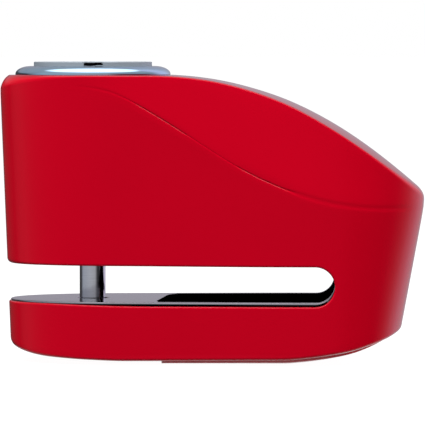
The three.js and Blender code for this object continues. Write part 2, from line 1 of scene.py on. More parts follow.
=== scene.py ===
# Disc brake lock: two red half shells round a U-shaped steel core, with a key cylinder on
# top that drives the locking pin across the slot.
# Lengths are in mm in the design frame: X runs from the slot's open mouth (left) to the
# nose (right), the front is -Y and Z is up. The pin axis is at X = 0, Y = 0 and the lower
# jaw's face at Z = 0. world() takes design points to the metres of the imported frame.
import math
import bpy
import bmesh
import numpy as np
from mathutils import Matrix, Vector

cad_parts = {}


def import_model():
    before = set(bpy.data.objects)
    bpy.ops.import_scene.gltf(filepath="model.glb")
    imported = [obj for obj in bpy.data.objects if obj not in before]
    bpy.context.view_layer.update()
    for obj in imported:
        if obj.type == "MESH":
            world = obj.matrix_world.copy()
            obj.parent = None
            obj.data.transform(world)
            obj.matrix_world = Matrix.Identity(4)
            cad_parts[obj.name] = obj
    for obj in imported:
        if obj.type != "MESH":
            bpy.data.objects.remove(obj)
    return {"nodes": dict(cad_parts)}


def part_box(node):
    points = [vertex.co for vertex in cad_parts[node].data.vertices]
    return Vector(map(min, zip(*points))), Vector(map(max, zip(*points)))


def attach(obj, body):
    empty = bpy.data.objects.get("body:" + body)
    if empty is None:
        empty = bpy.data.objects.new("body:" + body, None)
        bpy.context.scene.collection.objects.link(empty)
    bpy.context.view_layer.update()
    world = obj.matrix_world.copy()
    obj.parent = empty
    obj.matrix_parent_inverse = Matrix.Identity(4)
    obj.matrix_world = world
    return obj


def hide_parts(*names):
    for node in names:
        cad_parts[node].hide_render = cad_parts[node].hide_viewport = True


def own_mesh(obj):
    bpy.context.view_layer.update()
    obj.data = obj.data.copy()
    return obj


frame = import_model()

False  # a quick build is the same as a full one
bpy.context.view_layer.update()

PIN_TIP_Z = -4.2
pin_low, pin_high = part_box("locking_pin")
ORIGIN = np.array([(pin_low[0] + pin_high[0]) * 500.0, (pin_low[1] + pin_high[1]) * 500.0,
                   pin_low[2] * 1000.0 - PIN_TIP_Z])


def world(points):
    return (np.asarray(points, float) + ORIGIN) / 1000.0


# ---------------------------------------------------------------- curve maths
def straight_ends(at, inside, x, y, first_slope, last_slope):
    """Carries a curve on in straight lines beyond its first and last points."""
    inside = np.where(at < x[0], y[0] + first_slope * (at - x[0]), inside)
    return np.where(at > x[-1], y[-1] + last_slope * (at - x[-1]), inside)


def cubic(points, first_slope=None, last_slope=None):
    """C2 spline through (x, y) points; an end without a slope has no curvature."""
    x, y = np.array(points, float).T
    count = len(x)
    step = np.diff(x)
    rise = np.diff(y) / step
    matrix = np.zeros((count, count))
    target = np.zeros(count)
    if first_slope is None:
        matrix[0, 0] = 1.0
    else:
        matrix[0, :2] = 2 * step[0], step[0]
        target[0] = 6 * (rise[0] - first_slope)
    if last_slope is None:
        matrix[-1, -1] = 1.0
    else:
        matrix[-1, -2:] = step[-1], 2 * step[-1]
        target[-1] = 6 * (last_slope - rise[-1])
    for i in range(1, count - 1):
        matrix[i, i - 1:i + 2] = step[i - 1], 2 * (step[i - 1] + step[i]), step[i]
        target[i] = 6 * (rise[i] - rise[i - 1])
    bend = np.linalg.solve(matrix, target)
    slope0 = rise[0] - step[0] * (2 * bend[0] + bend[1]) / 6
    slope1 = rise[-1] + step[-1] * (bend[-2] + 2 * bend[-1]) / 6

    def curve(at):
        at = np.asarray(at, float)
        i = np.clip(np.searchsorted(x, at) - 1, 0, count - 2)
        after = at - x[i]
        before = x[i + 1] - at
        inside = ((bend[i] * before ** 3 + bend[i + 1] * after ** 3) / (6 * step[i])
                  + (y[i] / step[i] - bend[i] * step[i] / 6) * before
                  + (y[i + 1] / step[i] - bend[i + 1] * step[i] / 6) * after)
        return straight_ends(at, inside, x, y, slope0, slope1)
    return curve


def pchip(points):
    """Monotone curve through (x, y) points, so flat stretches stay flat."""
    x, y = np.array(points, float).T
    step = np.diff(x)
    rise = np.diff(y) / step
    slope = np.zeros_like(y)
    for i in range(1, len(x) - 1):
        if rise[i - 1] * rise[i] > 0:
            weight0 = 2 * step[i] + step[i - 1]
            weight1 = step[i] + 2 * step[i - 1]
            slope[i] = (weight0 + weight1) / (weight0 / rise[i - 1] + weight1 / rise[i])
    slope[0], slope[-1] = rise[0], rise[-1]

    def curve(at):
        at = np.asarray(at, float)
        i = np.clip(np.searchsorted(x, at) - 1, 0, len(x) - 2)
        t = (np.clip(at, x[0], x[-1]) - x[i]) / step[i]
        inside = ((1 + 2 * t) * (1 - t) ** 2 * y[i] + t * (1 - t) ** 2 * step[i] * slope[i]
                  + t * t * (3 - 2 * t) * y[i + 1] + t * t * (t - 1) * step[i] * slope[i + 1])
        return straight_ends(at, inside, x, y, slope[0], slope[-1])
    return curve


def smooth(t):
    t = np.clip(t, 0, 1)
    return t * t * (3 - 2 * t)


# ---------------------------------------------------------- shape of the body
# The plan narrows from MOUTH_X to the left tip and from NOSE_X to the right tip.
MOUTH_X, MOUTH_LENGTH, MOUTH_POWER = 6.8, 27.0, 2.2
NOSE_X, NOSE_LENGTH = 48.0, 24.35
LEFT_X, RIGHT_X = MOUTH_X - MOUTH_LENGTH, NOSE_X + NOSE_LENGTH
MOUTH_LEAN, NOSE_LEAN = 0.0405, 0.187    # how far the ends slope inwards going down
FLARE_END_X, FLARE = 34, 0.08            # the half width grows at this rate up to here
FLARE_FADE = NOSE_X - FLARE_END_X
WALL, SEAM = 1.7, 0.06                   # shell thickness; half the gap between shells
TOP_Z, RIDGE_X = 48.73, 14               # flat roof height, and where it starts to fall

SLOT_END_X, SLOT_Z, SLOT_R = 48.55, 3.43, 4.25    # the shells' slot and its round end
EDGE_R = 0.42                            # rounding of the slot's edge
JOIN = 1.1                               # reach of the band of rows round the slot
JAW_R = 4.0                              # half the gap between the jaws
JAW_END_X, RIM_END_X = 48.8, 48.6        # centres of the steel's round end and its rim

# (x, z) along the roof's middle
ridge = cubic([(RIDGE_X, TOP_Z), (21.5, 48.37), (28.3, 47.41), (35.1, 45.76), (42, 43.44),
               (48.8, 40.29), (55.6, 36.31), (62.5, 31.44), (69.7, 25.58), (72.35, 23.28)],
              0.0, -0.88)
# (x, fall of the roof per y squared)
crown = pchip([(14, 0.0001), (28, 0.0006), (42, 0.0016), (52.2, 0.0028), (62.5, 0.0042),
               (72.4, 0.006)])
# (x, z) along the underside's middle
keel = pchip([(-18.2, -9.2), (-17.5, -9.8), (-16.6, -10.35), (-14, -11.2), (-10.5, -11.85),
              (-7, -12.25), (0, -12.8), (8, -13.1), (42, -13.1), (45.3, -12.87),
              (50.5, -12.22), (55.8, -11.15), (61, -9.35), (66.2, -7.15), (70, -5.3)])
# (x, z) of the crease between the side wall and the hood above it
CREASE_X, CREASE_Z = -8, 46.6
crease_curve = cubic([(CREASE_X, CREASE_Z), (-1, 46.2), (5, 45.0), (13.2, 40.85), (22, 35.4),
                      (30.3, 30.15), (36.7, 26.75), (43.8, 23.8), (50.2, 21.85),
                      (60.7, 20.3), (72.35, 20.1)])
# groove along the crease: (height from the crease, depth)
GROOVE_ROWS = [(-0.30, 0.012), (-0.2, 0.055), (-0.1, 0.11), (0.0, 0.13), (0.08, 0.11),
               (0.18, 0.05), (0.3, 0.012), (0.42, 0.0)]
GROOVE_EDGE = 0.42


def top_z(x, y):
    along = np.maximum(x, RIDGE_X)
    return np.where(x < RIDGE_X, TOP_Z, ridge(along)) - crown(along) * y * y


def bottom_z(x, y):
    over = np.maximum(0, np.abs(y) - 11)
    return keel(x) + 0.0075 * over * over


def toward_mouth(x):
    return np.clip((MOUTH_X - x) / MOUTH_LENGTH, 0, 1)


def toward_nose(x):
    return np.clip((x - NOSE_X) / NOSE_LENGTH, 0, 1)


def plan(x):
    """Half width at x and the outward normal of the plan outline on the +Y side."""
    x = np.asarray(x, float)
    fade = np.clip(x - FLARE_END_X, 0, FLARE_FADE)
    full = np.where(x < FLARE_END_X, 19.1 + FLARE * x,
                    21.82 + FLARE * fade - FLARE * fade * fade / (2 * FLARE_FADE))
    full_slope = np.where(x < FLARE_END_X, FLARE, FLARE - FLARE * fade / FLARE_FADE)
    mouth, nose = toward_mouth(x), toward_nose(x)
    left = np.maximum(1 - mouth ** MOUTH_POWER, 1e-12)
    mouth_scale = left ** (1 / MOUTH_POWER)
    nose_scale = np.sqrt(np.maximum(1 - nose * nose, 1e-12))
    width = full * mouth_scale * nose_scale
    slope = (full_slope * mouth_scale * nose_scale
             + full * nose_scale * left ** (1 / MOUTH_POWER - 1)
             * mouth ** (MOUTH_POWER - 1) / MOUTH_LENGTH
             - full * mouth_scale * nose / nose_scale / NOSE_LENGTH)
    length = np.hypot(slope, 1)
    tip = (mouth > 1 - 1e-9) | (nose > 1 - 1e-9)
    normal_x = np.where(tip, np.where(mouth > 0.5, -1.0, 1.0), -slope / length)
    normal_y = np.where(tip, 0.0, 1 / length)
    return np.where(tip, 0.0, width), normal_x, normal_y


def half_width(x):
    return float(plan(np.array([min(x, RIGHT_X - 1e-6)]))[0][0])


def hood_lean(x):
    """Inward lean of the hood per mm of height."""
    return math.tan(math.radians(5.0)) * smooth((x + 3) / 12) * (1 - smooth((x - 58) / 14))


def groove_strength(x):
    """Groove depth along X, crisper in two stretches and fading out at both ends."""
    crisp = (smooth((x - 9.2) / 1.2) * (1 - smooth((x - 20.6) / 1.4))
             + smooth((x - 31.5) / 1.4) * (1 - smooth((x - 43) / 2.0)))
    ends = smooth((x + 5) / 14) * (1 - smooth((x - 66) / 6))
    return ends * (0.5 + 0.65 * crisp + 0.3 * smooth((x - 43) / 3))


def wall(station, z, inset):
    """Point on the side, moved inwards by inset. Returns x, |y|, z."""
    width, normal_x, normal_y = plan(station)
    below = 20.4 - z
    below = (below + np.sqrt(below * below + 2.2)) / 2 - 0.12    # eased in
    x = (station + MOUTH_LEAN * np.maximum(0, 44.6 - z) * toward_mouth(station) ** 2
         - NOSE_LEAN * np.maximum(below, 0) * toward_nose(station) ** 2 - normal_x * inset)
    return x, width - normal_y * inset, z


def station_at(x_wanted, z):
    """Station whose wall point at height z has this x."""
    station = np.array(x_wanted, float)
    for _ in range(6):
        x, _, _ = wall(station, z, 0.0)
        station = station + (x_wanted - x)
    return station


def columns(mouth_steps, middle_steps, arc_steps, nose_steps):
    """Stations from the left tip to the nose, the angle round the slot's end at each, and
    the index of the column where the slot ends."""
    quarter = math.pi / 2
    mouth = [MOUTH_X - MOUTH_LENGTH * math.cos(t)
             for t in np.linspace(0, quarter, mouth_steps, endpoint=False)]
    middle = list(np.linspace(MOUTH_X, SLOT_END_X, middle_steps, endpoint=False))
    angles = np.linspace(0, quarter, arc_steps + 1)
    slot_arc = [SLOT_END_X + (SLOT_R + JOIN) * math.sin(t) for t in angles]
    start = math.asin((slot_arc[-1] - NOSE_X) / NOSE_LENGTH)
    nose = [NOSE_X + NOSE_LENGTH * math.sin(t)
            for t in np.linspace(start, quarter, nose_steps + 1)[1:]]
    stations = np.array(mouth + middle + slot_arc + nose)
    turn = np.zeros(len(stations))
    first = len(mouth) + len(middle)
    turn[first:first + arc_steps + 1] = angles
    return stations, turn, first + arc_steps


def profile_grid(cols, upper, inset, edge_rows, wall_steps, hood_steps, round_steps,
                 cap_steps, groove=False, drop=0.0):
    """Grid of points (rows, columns, 3) on the +Y side, above or below the slot.
    edge_rows are (reach, depth) from the slot's edge outwards over the surface;
    drop lowers the underside."""
    stations, turn, end_col = cols
    sign = 1.0 if upper else -1.0
    index = np.arange(len(stations))
    slotted = index <= end_col
    ease = 1 + (1.5 * toward_mouth(stations) ** 8 if upper and inset < 0.1 else 0.0)
    # the opening's height changes a little towards the mouth
    if upper:
        lift = 0.1 * (1 - smooth((stations - 5) / 35))
    else:
        lift = 0.42 * (1 - smooth((stations + 14) / 26))

    def slot_edge(reach):
        """x, z and station at this reach from the slot's edge."""
        x = np.where(turn > 0, SLOT_END_X + (SLOT_R + reach) * np.sin(turn), stations)
        z = SLOT_Z + sign * (SLOT_R + reach) * np.cos(turn) + lift
        z = np.where(index >= end_col, SLOT_Z, z)
        on_arc = (stations > SLOT_END_X - 1e-9) & slotted
        return x, z, np.where(on_arc, station_at(x, z), stations)

    rows = []
    for reach, depth in edge_rows:
        if depth < EDGE_R + 1e-9:
            reach = np.minimum(reach * ease, JOIN - 0.01 * (JOIN - reach))
            depth = depth * ease
        edge_x, edge_z, station = slot_edge(reach)
        x, y, z = wall(station, edge_z, depth)
        rows.append(np.stack([np.where((stations > 20) & slotted, edge_x, x), y, z], 1))

    _, join_z, base = slot_edge(edge_rows[-1][0])
    _, normal_x, normal_y = plan(base)
    mouth, nose = toward_mouth(base), toward_nose(base)
    crease = np.where(base < CREASE_X, CREASE_Z, crease_curve(base))
    lean = hood_lean(base)

    def cap(x, y):
        return top_z(x, y) - inset if upper else bottom_z(x, y) + inset - drop

    def side_inset(z):
        return inset + np.maximum(0, z - crease) * lean if upper else inset

    def climb(z0, z1, steps, inset_at):
        for t in np.linspace(0, 1, steps + 1)[1:]:
            z = z0 + (z1 - z0) * t
            rows.append(np.stack(wall(base, z, inset_at(z)), 1))

    # height where the side meets the cap
    corner_z = np.full(len(stations), 45.0 if upper else -11.0)
    for _ in range(10):
        x, y, _ = wall(base, corner_z, side_inset(corner_z))
        corner_z = cap(x, y)

    # the rounding starts round_down from the corner on the side, round_in on the cap
    shrink = 0.6 if inset > 0.5 else 1.0
    if upper:
        round_down = shrink * (0.5 + 2.4 * mouth ** 3 + 1.0 * nose ** 3)
        round_in = shrink * (0.45 + 1.45 * mouth ** 3 + 1.3 * nose ** 3)
        crease = np.minimum(crease, corner_z - round_down - 1.6)
        soft = smooth((base - 41.5) / 5)
        spread = 0.8 + 1.7 * soft + 0.5 * (1 - smooth((base - 4) / 6))
        climb(join_z, crease - GROOVE_EDGE * spread, wall_steps, lambda z: inset)
        strength = groove_strength(base) if groove else np.zeros(len(stations))
        for height, depth in GROOVE_ROWS:
            z = crease + height * spread
            sunk = side_inset(z) + depth * strength * (1 - 0.15 * soft)
            rows.append(np.stack(wall(base, z, sunk), 1))
        climb(crease + GROOVE_EDGE * spread, corner_z - round_down, hood_steps, side_inset)
    else:
        round_down = shrink * (0.55 + 0.3 * nose ** 2 + 0.5 * mouth ** 3)
        round_in = shrink * (0.7 + 0.3 * mouth)
        climb(join_z, corner_z + round_down, wall_steps, lambda z: inset)

    # rounded corner: a quadratic curve from the side, by a control point, to the cap
    side_end = rows[-1]
    corner_x, corner_y, _ = wall(base, corner_z, side_inset(corner_z))
    cap_x, cap_y = corner_x - normal_x * round_in, corner_y - normal_y * round_in
    cap_z = cap(cap_x, cap_y)
    probe = 0.05
    slope = (cap_z - cap(cap_x - normal_x * probe, cap_y - normal_y * probe)) / probe
    cap_start = np.stack([cap_x, cap_y, cap_z], 1)
    control = np.stack([corner_x, corner_y, cap_z + slope * round_in], 1)
    if upper:
        pull = (0.55 * mouth ** 3)[:, None]
        control = control + pull * ((side_end + cap_start) / 2 - control)
    for t in np.linspace(0, 1, round_steps + 1)[1:]:
        rows.append((1 - t) ** 2 * side_end + 2 * t * (1 - t) * control + t * t * cap_start)

    # the cap runs in to a spine on the parting line
    spine = -8 + (base - LEFT_X) / (RIGHT_X - LEFT_X) * 62
    for t in np.linspace(0, 1, cap_steps + 1)[1:]:
        t = t * (0.55 + 0.45 * t)
        x = cap_x + (spine - cap_x) * t
        y = cap_y * (1 - t)
        rows.append(np.stack([x, y, cap(x, y)], 1))
    return np.array(rows)


# ----------------------------------------------------------------- mesh tools
def shade(mesh, sharp):
    mesh.polygons.foreach_set("use_smooth", [True] * len(mesh.polygons))
    mesh.set_sharp_from_angle(angle=math.radians(sharp))


def new_object(name, verts, faces, merge=2e-6, sharp=35.0):
    mesh = bpy.data.meshes.new(name)
    mesh.from_pydata([tuple(v) for v in verts], [], faces)
    bm = bmesh.new()
    bm.from_mesh(mesh)
    bmesh.ops.remove_doubles(bm, verts=bm.verts, dist=merge)
    bmesh.ops.dissolve_degenerate(bm, edges=bm.edges, dist=1e-7)
    bmesh.ops.recalc_face_normals(bm, faces=bm.faces)
    bm.to_mesh(mesh)
    bm.free()
    shade(mesh, sharp)
    ob = bpy.data.objects.new(name, mesh)
    bpy.context.scene.collection.objects.link(ob)
    return ob


def tidy(ob, sharp=35.0):
    bm = bmesh.new()
    bm.from_mesh(ob.data)
    bmesh.ops.remove_doubles(bm, verts=bm.verts, dist=1e-6)
    bm.to_mesh(ob.data)
    bm.free()
    shade(ob.data, sharp)


def drop_object(ob):
    mesh = ob.data
    bpy.data.objects.remove(ob)
    bpy.data.meshes.remove(mesh)


def boolean(ob, cutter, operation="DIFFERENCE", drop=True):
    modifier = ob.modifiers.new("b", "BOOLEAN")
    modifier.operation = operation
    modifier.solver = "EXACT"
    modifier.object = cutter
    depsgraph = bpy.context.evaluated_depsgraph_get()
    mesh = bpy.data.meshes.new_from_object(ob.evaluated_get(depsgraph))
    ob.modifiers.remove(modifier)
    old = ob.data
    ob.data = mesh
    mesh.name = ob.name
    bpy.data.meshes.remove(old)
    if drop:
        drop_object(cutter)


def cut(ob, *tools):
    for tool in tools:
        boolean(ob, tool)


def bevel_edges(ob, width, angle):
    """Bevel modifier on edges sharper than angle degrees; width in mm."""
    modifier = ob.modifiers.new("edge", "BEVEL")
    modifier.width = width / 1000
    modifier.segments = 3
    modifier.limit_method = "ANGLE"
    modifier.angle_limit = math.radians(angle)
    modifier.use_clamp_overlap = True


def grid_faces(rows, cols, offset, col0=0, row0=0, col1=None):
    last = cols - 1 if col1 is None else col1
    faces = []
    for j in range(row0, rows - 1):
        for i in range(col0, last):
            a = offset + j * cols + i
            faces.append((a, a + 1, a + cols + 1, a + cols))
    return faces


def slotted_faces(rows, cols, offset, end_col, join_row):
    """Grid faces, without the rows round the slot beyond the slot's end."""
    return (grid_faces(rows, cols, offset, col1=end_col)
            + grid_faces(rows, cols, offset, col0=end_col, row0=join_row))


def side_verts(grid, seam, side):
    """Vertices of one side from a +Y grid, its borders laid on the seam."""
    grid[:, :, 1] = np.maximum(grid[:, :, 1], seam)
    grid[:, [0, -1], 1] = seam
    grid[-1, :, 1] = seam
    grid[:, :, 1] *= side
    return list(world(grid.reshape(-1, 3)))


def lathe(name, profile, segments=96, axis="z", at=(0, 0, 0)):
    """Closed solid of revolution from (radius, height) points about Z or Y."""
    verts, faces, rings = [], [], []
    for radius, height in profile:
        start = len(verts)
        if radius < 1e-9:
            verts.append((0, 0, height))
        else:
            for k in range(segments):
                t = 2 * math.pi * k / segments
                verts.append((radius * math.cos(t), radius * math.sin(t), height))
        rings.append(list(range(start, len(verts))))
    pairs = list(zip(rings, rings[1:] + rings[:1]))
    if len(rings[0]) == 1:       # starts and ends on the axis
        pairs = pairs[:-1]
    for low, high in pairs:
        for k in range(segments):
            k2 = (k + 1) % segments
            if len(low) == 1:
                faces.append((low[0], high[k], high[k2]))
            elif len(high) == 1:
                faces.append((low[k], high[0], low[k2]))
            else:
                faces.append((low[k], high[k], high[k2], low[k2]))
    verts = np.array(verts)
    if axis == "y":
        verts = verts[:, [0, 2, 1]]
    return new_object(name, world(verts + np.array(at)), faces)


def arc(x, z, radius, start, end, count):
    """Points on an arc, angles in degrees."""
    return [(x + radius * math.cos(math.radians(a)), z + radius * math.sin(math.radians(a)))
            for a in np.linspace(start, end, count)]


def prism(outline, low, high, plane="xy", name="tool"):
    """Straight prism of an outline; plane 'xz' extrudes along Y."""
    n = len(outline)
    verts = [(a, b, level) if plane == "xy" else (a, level, b)
             for level in (low, high) for a, b in outline]
    faces = [tuple(range(n)), tuple(range(2 * n - 1, n - 1, -1))]
    for i in range(n):
        j = (i + 1) % n
        faces.append((i, j, n + j, n + i))
    return new_object(name, world(np.array(verts)), faces)


def block(x0, x1, y0, y1, z0, z1):
    return prism([(x0, y0), (x1, y0), (x1, y1), (x0, y1)], z0, z1)


def cyl_z(radius, z0, z1, x=0.0, top_radius=None, segments=72):
    top = radius if top_radius is None else top_radius
    return lathe("tool", [(0, z0), (radius, z0), (top, z1), (0, z1)], segments, at=(x, 0, 0))


def cyl_y(radius, y0, y1, x, z, segments=64):
    profile = [(0, y0), (radius, y0), (radius, y1), (0, y1)]
    return lathe("tool", profile, segments, "y", (x, 0, z))


def hexagon(half_flats, x, y):
    radius = half_flats / math.cos(math.pi / 6)
    return [(x + radius * math.cos(a), y + radius * math.sin(a))
            for a in np.linspace(0, 2 * math.pi, 6, endpoint=False)]


# ------------------------------------------------------------------ materials
def feed(node, inputs):
    """Sets inputs by socket: to values, or linked from output sockets."""
    for socket, value in inputs.items():
        if isinstance(value, bpy.types.NodeSocket):
            node.id_data.links.new(value, node.inputs[socket])
        else:
            node.inputs[socket].default_value = value


def add(tree, kind, inputs=None, **settings):
    node = tree.nodes.new("ShaderNode" + kind)
    for key, value in settings.items():
        setattr(node, key, value)
    feed(node, inputs or {})
    return node


def material(name, inputs):
    mat = bpy.data.materials.new(name)
    mat.use_nodes = True
    shader = mat.node_tree.nodes["Principled BSDF"]
    feed(shader, inputs)
    return mat, mat.node_tree, shader


def noise(tree, scale, detail, roughness=0.5, stretch=(1, 1, 1)):
    coords = add(tree, "TexCoord")
    mapping = add(tree, "Mapping", {"Scale": stretch, "Vector": coords.outputs["Object"]})
    return add(tree, "TexNoise", {
        "Scale": scale, "Detail": detail, "Roughness": roughness,
        "Vector": mapping.outputs["Vector"]}).outputs["Fac"]


def ramp(tree, source, stops):
    """Colour ramp of (position, colour) stops; a single number is a grey."""
    node = add(tree, "ValToRGB")
    elements = node.color_ramp.elements
    while len(elements) < len(stops):
        elements.new(0.5)
    for element, (position, colour) in zip(elements, stops):
        if isinstance(colour, float):
            colour = (colour,) * 3
        element.position = position
        element.color = (*colour, 1.0)
    feed(node, {"Fac": source})
    return node.outputs["Color"]


def bump(shader, height, strength, distance):
    node = add(shader.id_data, "Bump",
               {"Strength": strength, "Distance": distance, "Height": height})
    feed(shader, {"Normal": node.outputs["Normal"]})


def grained(name, inputs, grain, colour, relief, roughness=None, relief_grain=None):
    """Material whose colour, and roughness if given, follow one noise. The relief
    follows it too unless it has a grain of its own."""
    mat, tree, shader = material(name, inputs)
    source = noise(tree, **grain)
    feed(shader, {"Base Color": ramp(tree, source, colour)})
    if roughness:
        feed(shader, {"Roughness": ramp(tree, source, roughness)})
    bump(shader, noise(tree, **relief_grain) if relief_grain else source, **relief)
    return mat


PAINT_GRAIN = dict(scale=420.0, detail=2.0, roughness=0.4)    # slight orange peel


def lacquer():
    """Glossy red paint."""
    mat, tree, shader = material("red_lacquer", {"IOR": 1.5})
    red = (0.56, 0.0003, 0.0125)
    colour = ramp(tree, noise(tree, scale=55.0, detail=2.0),
                  [(0.3, [v * 0.975 for v in red]), (0.7, red)])
    roughness = ramp(tree, noise(tree, scale=900.0, detail=3.0), [(0.3, 0.04), (0.75, 0.075)])
    geometry = add(tree, "NewGeometry")
    up = add(tree, "SeparateXYZ", {0: geometry.outputs["Normal"]}).outputs["Z"]
    tint = ramp(tree, up, [(0.30, (1.0, 0.03, 0.08)), (0.42, (1.0, 0.85, 0.95))])
    # painted shade: the colour is darker on the upward faces, which take the lamp square on
    painted_shade_up = ramp(tree, up, [(0.35, 1.0), (0.8, 0.5)])
    mixed = add(tree, "Mix", {"Factor": 1.0, "A": colour, "B": painted_shade_up},
                data_type="RGBA", blend_type="MULTIPLY")
    feed(shader, {"Roughness": roughness, "Specular Tint": tint,
                  "Base Color": mixed.outputs["Result"]})
    bump(shader, noise(tree, **PAINT_GRAIN), strength=0.08, distance=0.00004)
    return mat


def turned(name, dark, light, rough, rings=5200.0, strength=0.12, metallic=1.0):
    """Metal with the fine rings of a lathe, about the vertical through the pin axis."""
    mat, tree, shader = material(name, {"Metallic": metallic})
    coords = add(tree, "TexCoord")
    centred = add(tree, "Mapping", {
        "Location": (-ORIGIN[0] / 1000, -ORIGIN[1] / 1000, 0),
        "Vector": coords.outputs["Object"]}).outputs["Vector"]
    flat = add(tree, "VectorMath", {0: centred, 1: (1, 1, 0)}, operation="MULTIPLY")
    radius = add(tree, "VectorMath", {0: flat.outputs[0]}, operation="LENGTH")
    across = add(tree, "Math", {0: radius.outputs["Value"], 1: rings}, operation="MULTIPLY")
    height = add(tree, "SeparateXYZ", {0: centred})
    upward = add(tree, "Math", {0: height.outputs["Z"], 1: rings}, operation="MULTIPLY")
    combined = add(tree, "CombineXYZ", {"X": across.outputs[0], "Z": upward.outputs[0]})
    source = add(tree, "TexNoise", {"Scale": 1.0, "Detail": 3.0,
                                    "Vector": combined.outputs[0]}).outputs["Fac"]
    feed(shader, {"Base Color": ramp(tree, source, [(0.3, dark), (0.7, light)]),
                  "Roughness": ramp(tree, source, [(0.3, rough[0]), (0.7, rough[1])])})
    bump(shader, source, strength=strength, distance=0.00003)
    return mat


def ground_steel(name, dark, light, rough, stretch):
    """Ground steel, its grain drawn out by stretch."""
    return grained(name, {"Metallic": 1.0},
                   grain=dict(scale=3.0, detail=5.0, roughness=0.55, stretch=stretch),
                   colour=[(0.25, dark), (0.75, light)],
                   roughness=[(0.25, rough[0]), (0.75, rough[1])],
                   relief=dict(strength=0.06, distance=0.00003))


# the cover's paint: the same red, less glossy, and a little pinker as a painted sheen of
# light on the cover
SATIN = grained("red_satin", {"Roughness": 0.32, "Specular IOR Level": 0.8},
                grain=dict(scale=75.0, detail=2.0),
                colour=[(0.3, (0.56, 0.014, 0.03)), (0.7, (0.60, 0.018, 0.034))],
                relief=dict(strength=0.1, distance=0.00004), relief_grain=PAINT_GRAIN)
RED = lacquer()
# the chrome's strong blue is a painted reflection of a bluish room
CHROME = grained("chrome_plate", {"Metallic": 1.0}, grain=dict(scale=260.0, detail=3.0),
                 colour=[(0.3, (0.46, 0.68, 0.88)), (0.7, (0.52, 0.74, 0.92))],
                 roughness=[(0.3, 0.05), (0.8, 0.10)],
                 relief=dict(strength=0.03, distance=0.00002),
                 relief_grain=dict(scale=1500.0, detail=2.0))
TURNED = turned("turned_nickel", dark=(0.35, 0.395, 0.44), light=(0.41, 0.455, 0.50),
                rough=(0.42, 0.52), metallic=0.5)
FACE = turned("face_nickel", dark=(0.42, 0.44, 0.47), light=(0.55, 0.57, 0.60),
              rough=(0.2, 0.32), rings=2600.0)
PIN = turned("pin_steel", dark=(0.60, 0.62, 0.68), light=(0.69, 0.71, 0.77),
             rough=(0.10, 0.18), strength=0.05)
JAW = ground_steel("ground_steel", dark=(0.42, 0.40, 0.45), light=(0.50, 0.48, 0.54),
                   rough=(0.10, 0.2), stretch=(40, 900, 900))
BRASS = turned("turned_brass", dark=(0.50, 0.36, 0.14), light=(0.62, 0.47, 0.20),
               rough=(0.22, 0.34))
LINER_AND_SHADE = grained("black_liner_and_shade", {"Roughness": 0.8, "IOR": 1.01, "Specular IOR Level": 0.0},
                grain=dict(scale=1400.0, detail=3.0),
                colour=[(0.3, (0.0015, 0.0012, 0.0017)), (0.8, (0.004, 0.0035, 0.0045))],
                relief=dict(strength=0.15, distance=0.00005))
OXIDE = grained("black_oxide", {"Metallic": 1.0}, grain=dict(scale=700.0, detail=4.0),
                colour=[(0.3, (0.055, 0.056, 0.06)), (0.75, (0.10, 0.10, 0.11))],
                roughness=[(0.3, 0.28), (0.8, 0.42)],
                relief=dict(strength=0.1, distance=0.00003))
SPRING = ground_steel("spring_wire", dark=(0.35, 0.36, 0.38), light=(0.48, 0.49, 0.5),
                      rough=(0.25, 0.35), stretch=(300, 300, 300))


def paint(ob, mat):
    ob.data.materials.clear()
    ob.data.materials.append(mat)


def dress(ob, mat, node, body="body"):
    """Paints a piece and hands it to the frame in place of its CAD node."""
    paint(ob, mat)
    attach(ob, body)
    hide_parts(node)


def paint_shade_black(ob, chosen):
    """Gives the black liner material to the faces whose centres are chosen, as painted shade.
    """
    ob.data.materials.append(LINER_AND_SHADE)
    for poly in ob.data.polygons:
        if chosen(poly.center):
            poly.material_index = 1


# -------------------------------------------------------------- shared solids
def half_shell(side):
    """Closed solid of one half shell. side -1 is the front."""
    cols = columns(44, 46, 18, 40)
    end_col, n = cols[2], len(cols[0])
    rounding = [(EDGE_R * (1 - math.cos(t)), EDGE_R * (1 - math.sin(t)))
                for t in np.linspace(0, math.pi / 2, 7)]
    outer_rows = [(0, WALL)] + rounding + [(0.62, 0.0), (JOIN, 0.0)]
    inner_rows = [(0, WALL), (0.5, WALL), (JOIN, WALL)]
    verts, faces = [], []
    for upper in (False, True):
        spans = []
        for inset, edge_rows in ((0.0, outer_rows), (WALL, inner_rows)):
            if inset == 0:
                grid = profile_grid(cols, upper, inset, edge_rows, 20 if upper else 8,
                                    hood_steps=10, round_steps=10, cap_steps=14, groove=True)
            else:
                grid = profile_grid(cols, upper, inset, edge_rows, wall_steps=4,
                                    hood_steps=3, round_steps=3, cap_steps=4)
            offset, rows, join_row = len(verts), len(grid), len(edge_rows) - 1
            verts += side_verts(grid, SEAM, side)
            faces += slotted_faces(rows, n, offset, end_col, join_row)
            spans.append((offset, rows, join_row))
        (outer, outer_count, outer_join), (inner, inner_count, inner_join) = spans
        outer_last = outer + (outer_count - 1) * n
        inner_last = inner + (inner_count - 1) * n
        for i in range(n - 1):       # along the parting line
            faces.append((outer_last + i, outer_last + i + 1,
                          inner_last + i + 1, inner_last + i))
        # the two ends
        faces.append(tuple([outer + j * n for j in range(outer_count)]
                           + [inner + j * n for j in range(inner_count - 1, 0, -1)]))
        faces.append(tuple(
            [outer + j * n + n - 1 for j in range(outer_join, outer_count)]
            + [inner + j * n + n - 1 for j in range(inner_count - 1, inner_join - 1, -1)]))
    return verts, faces


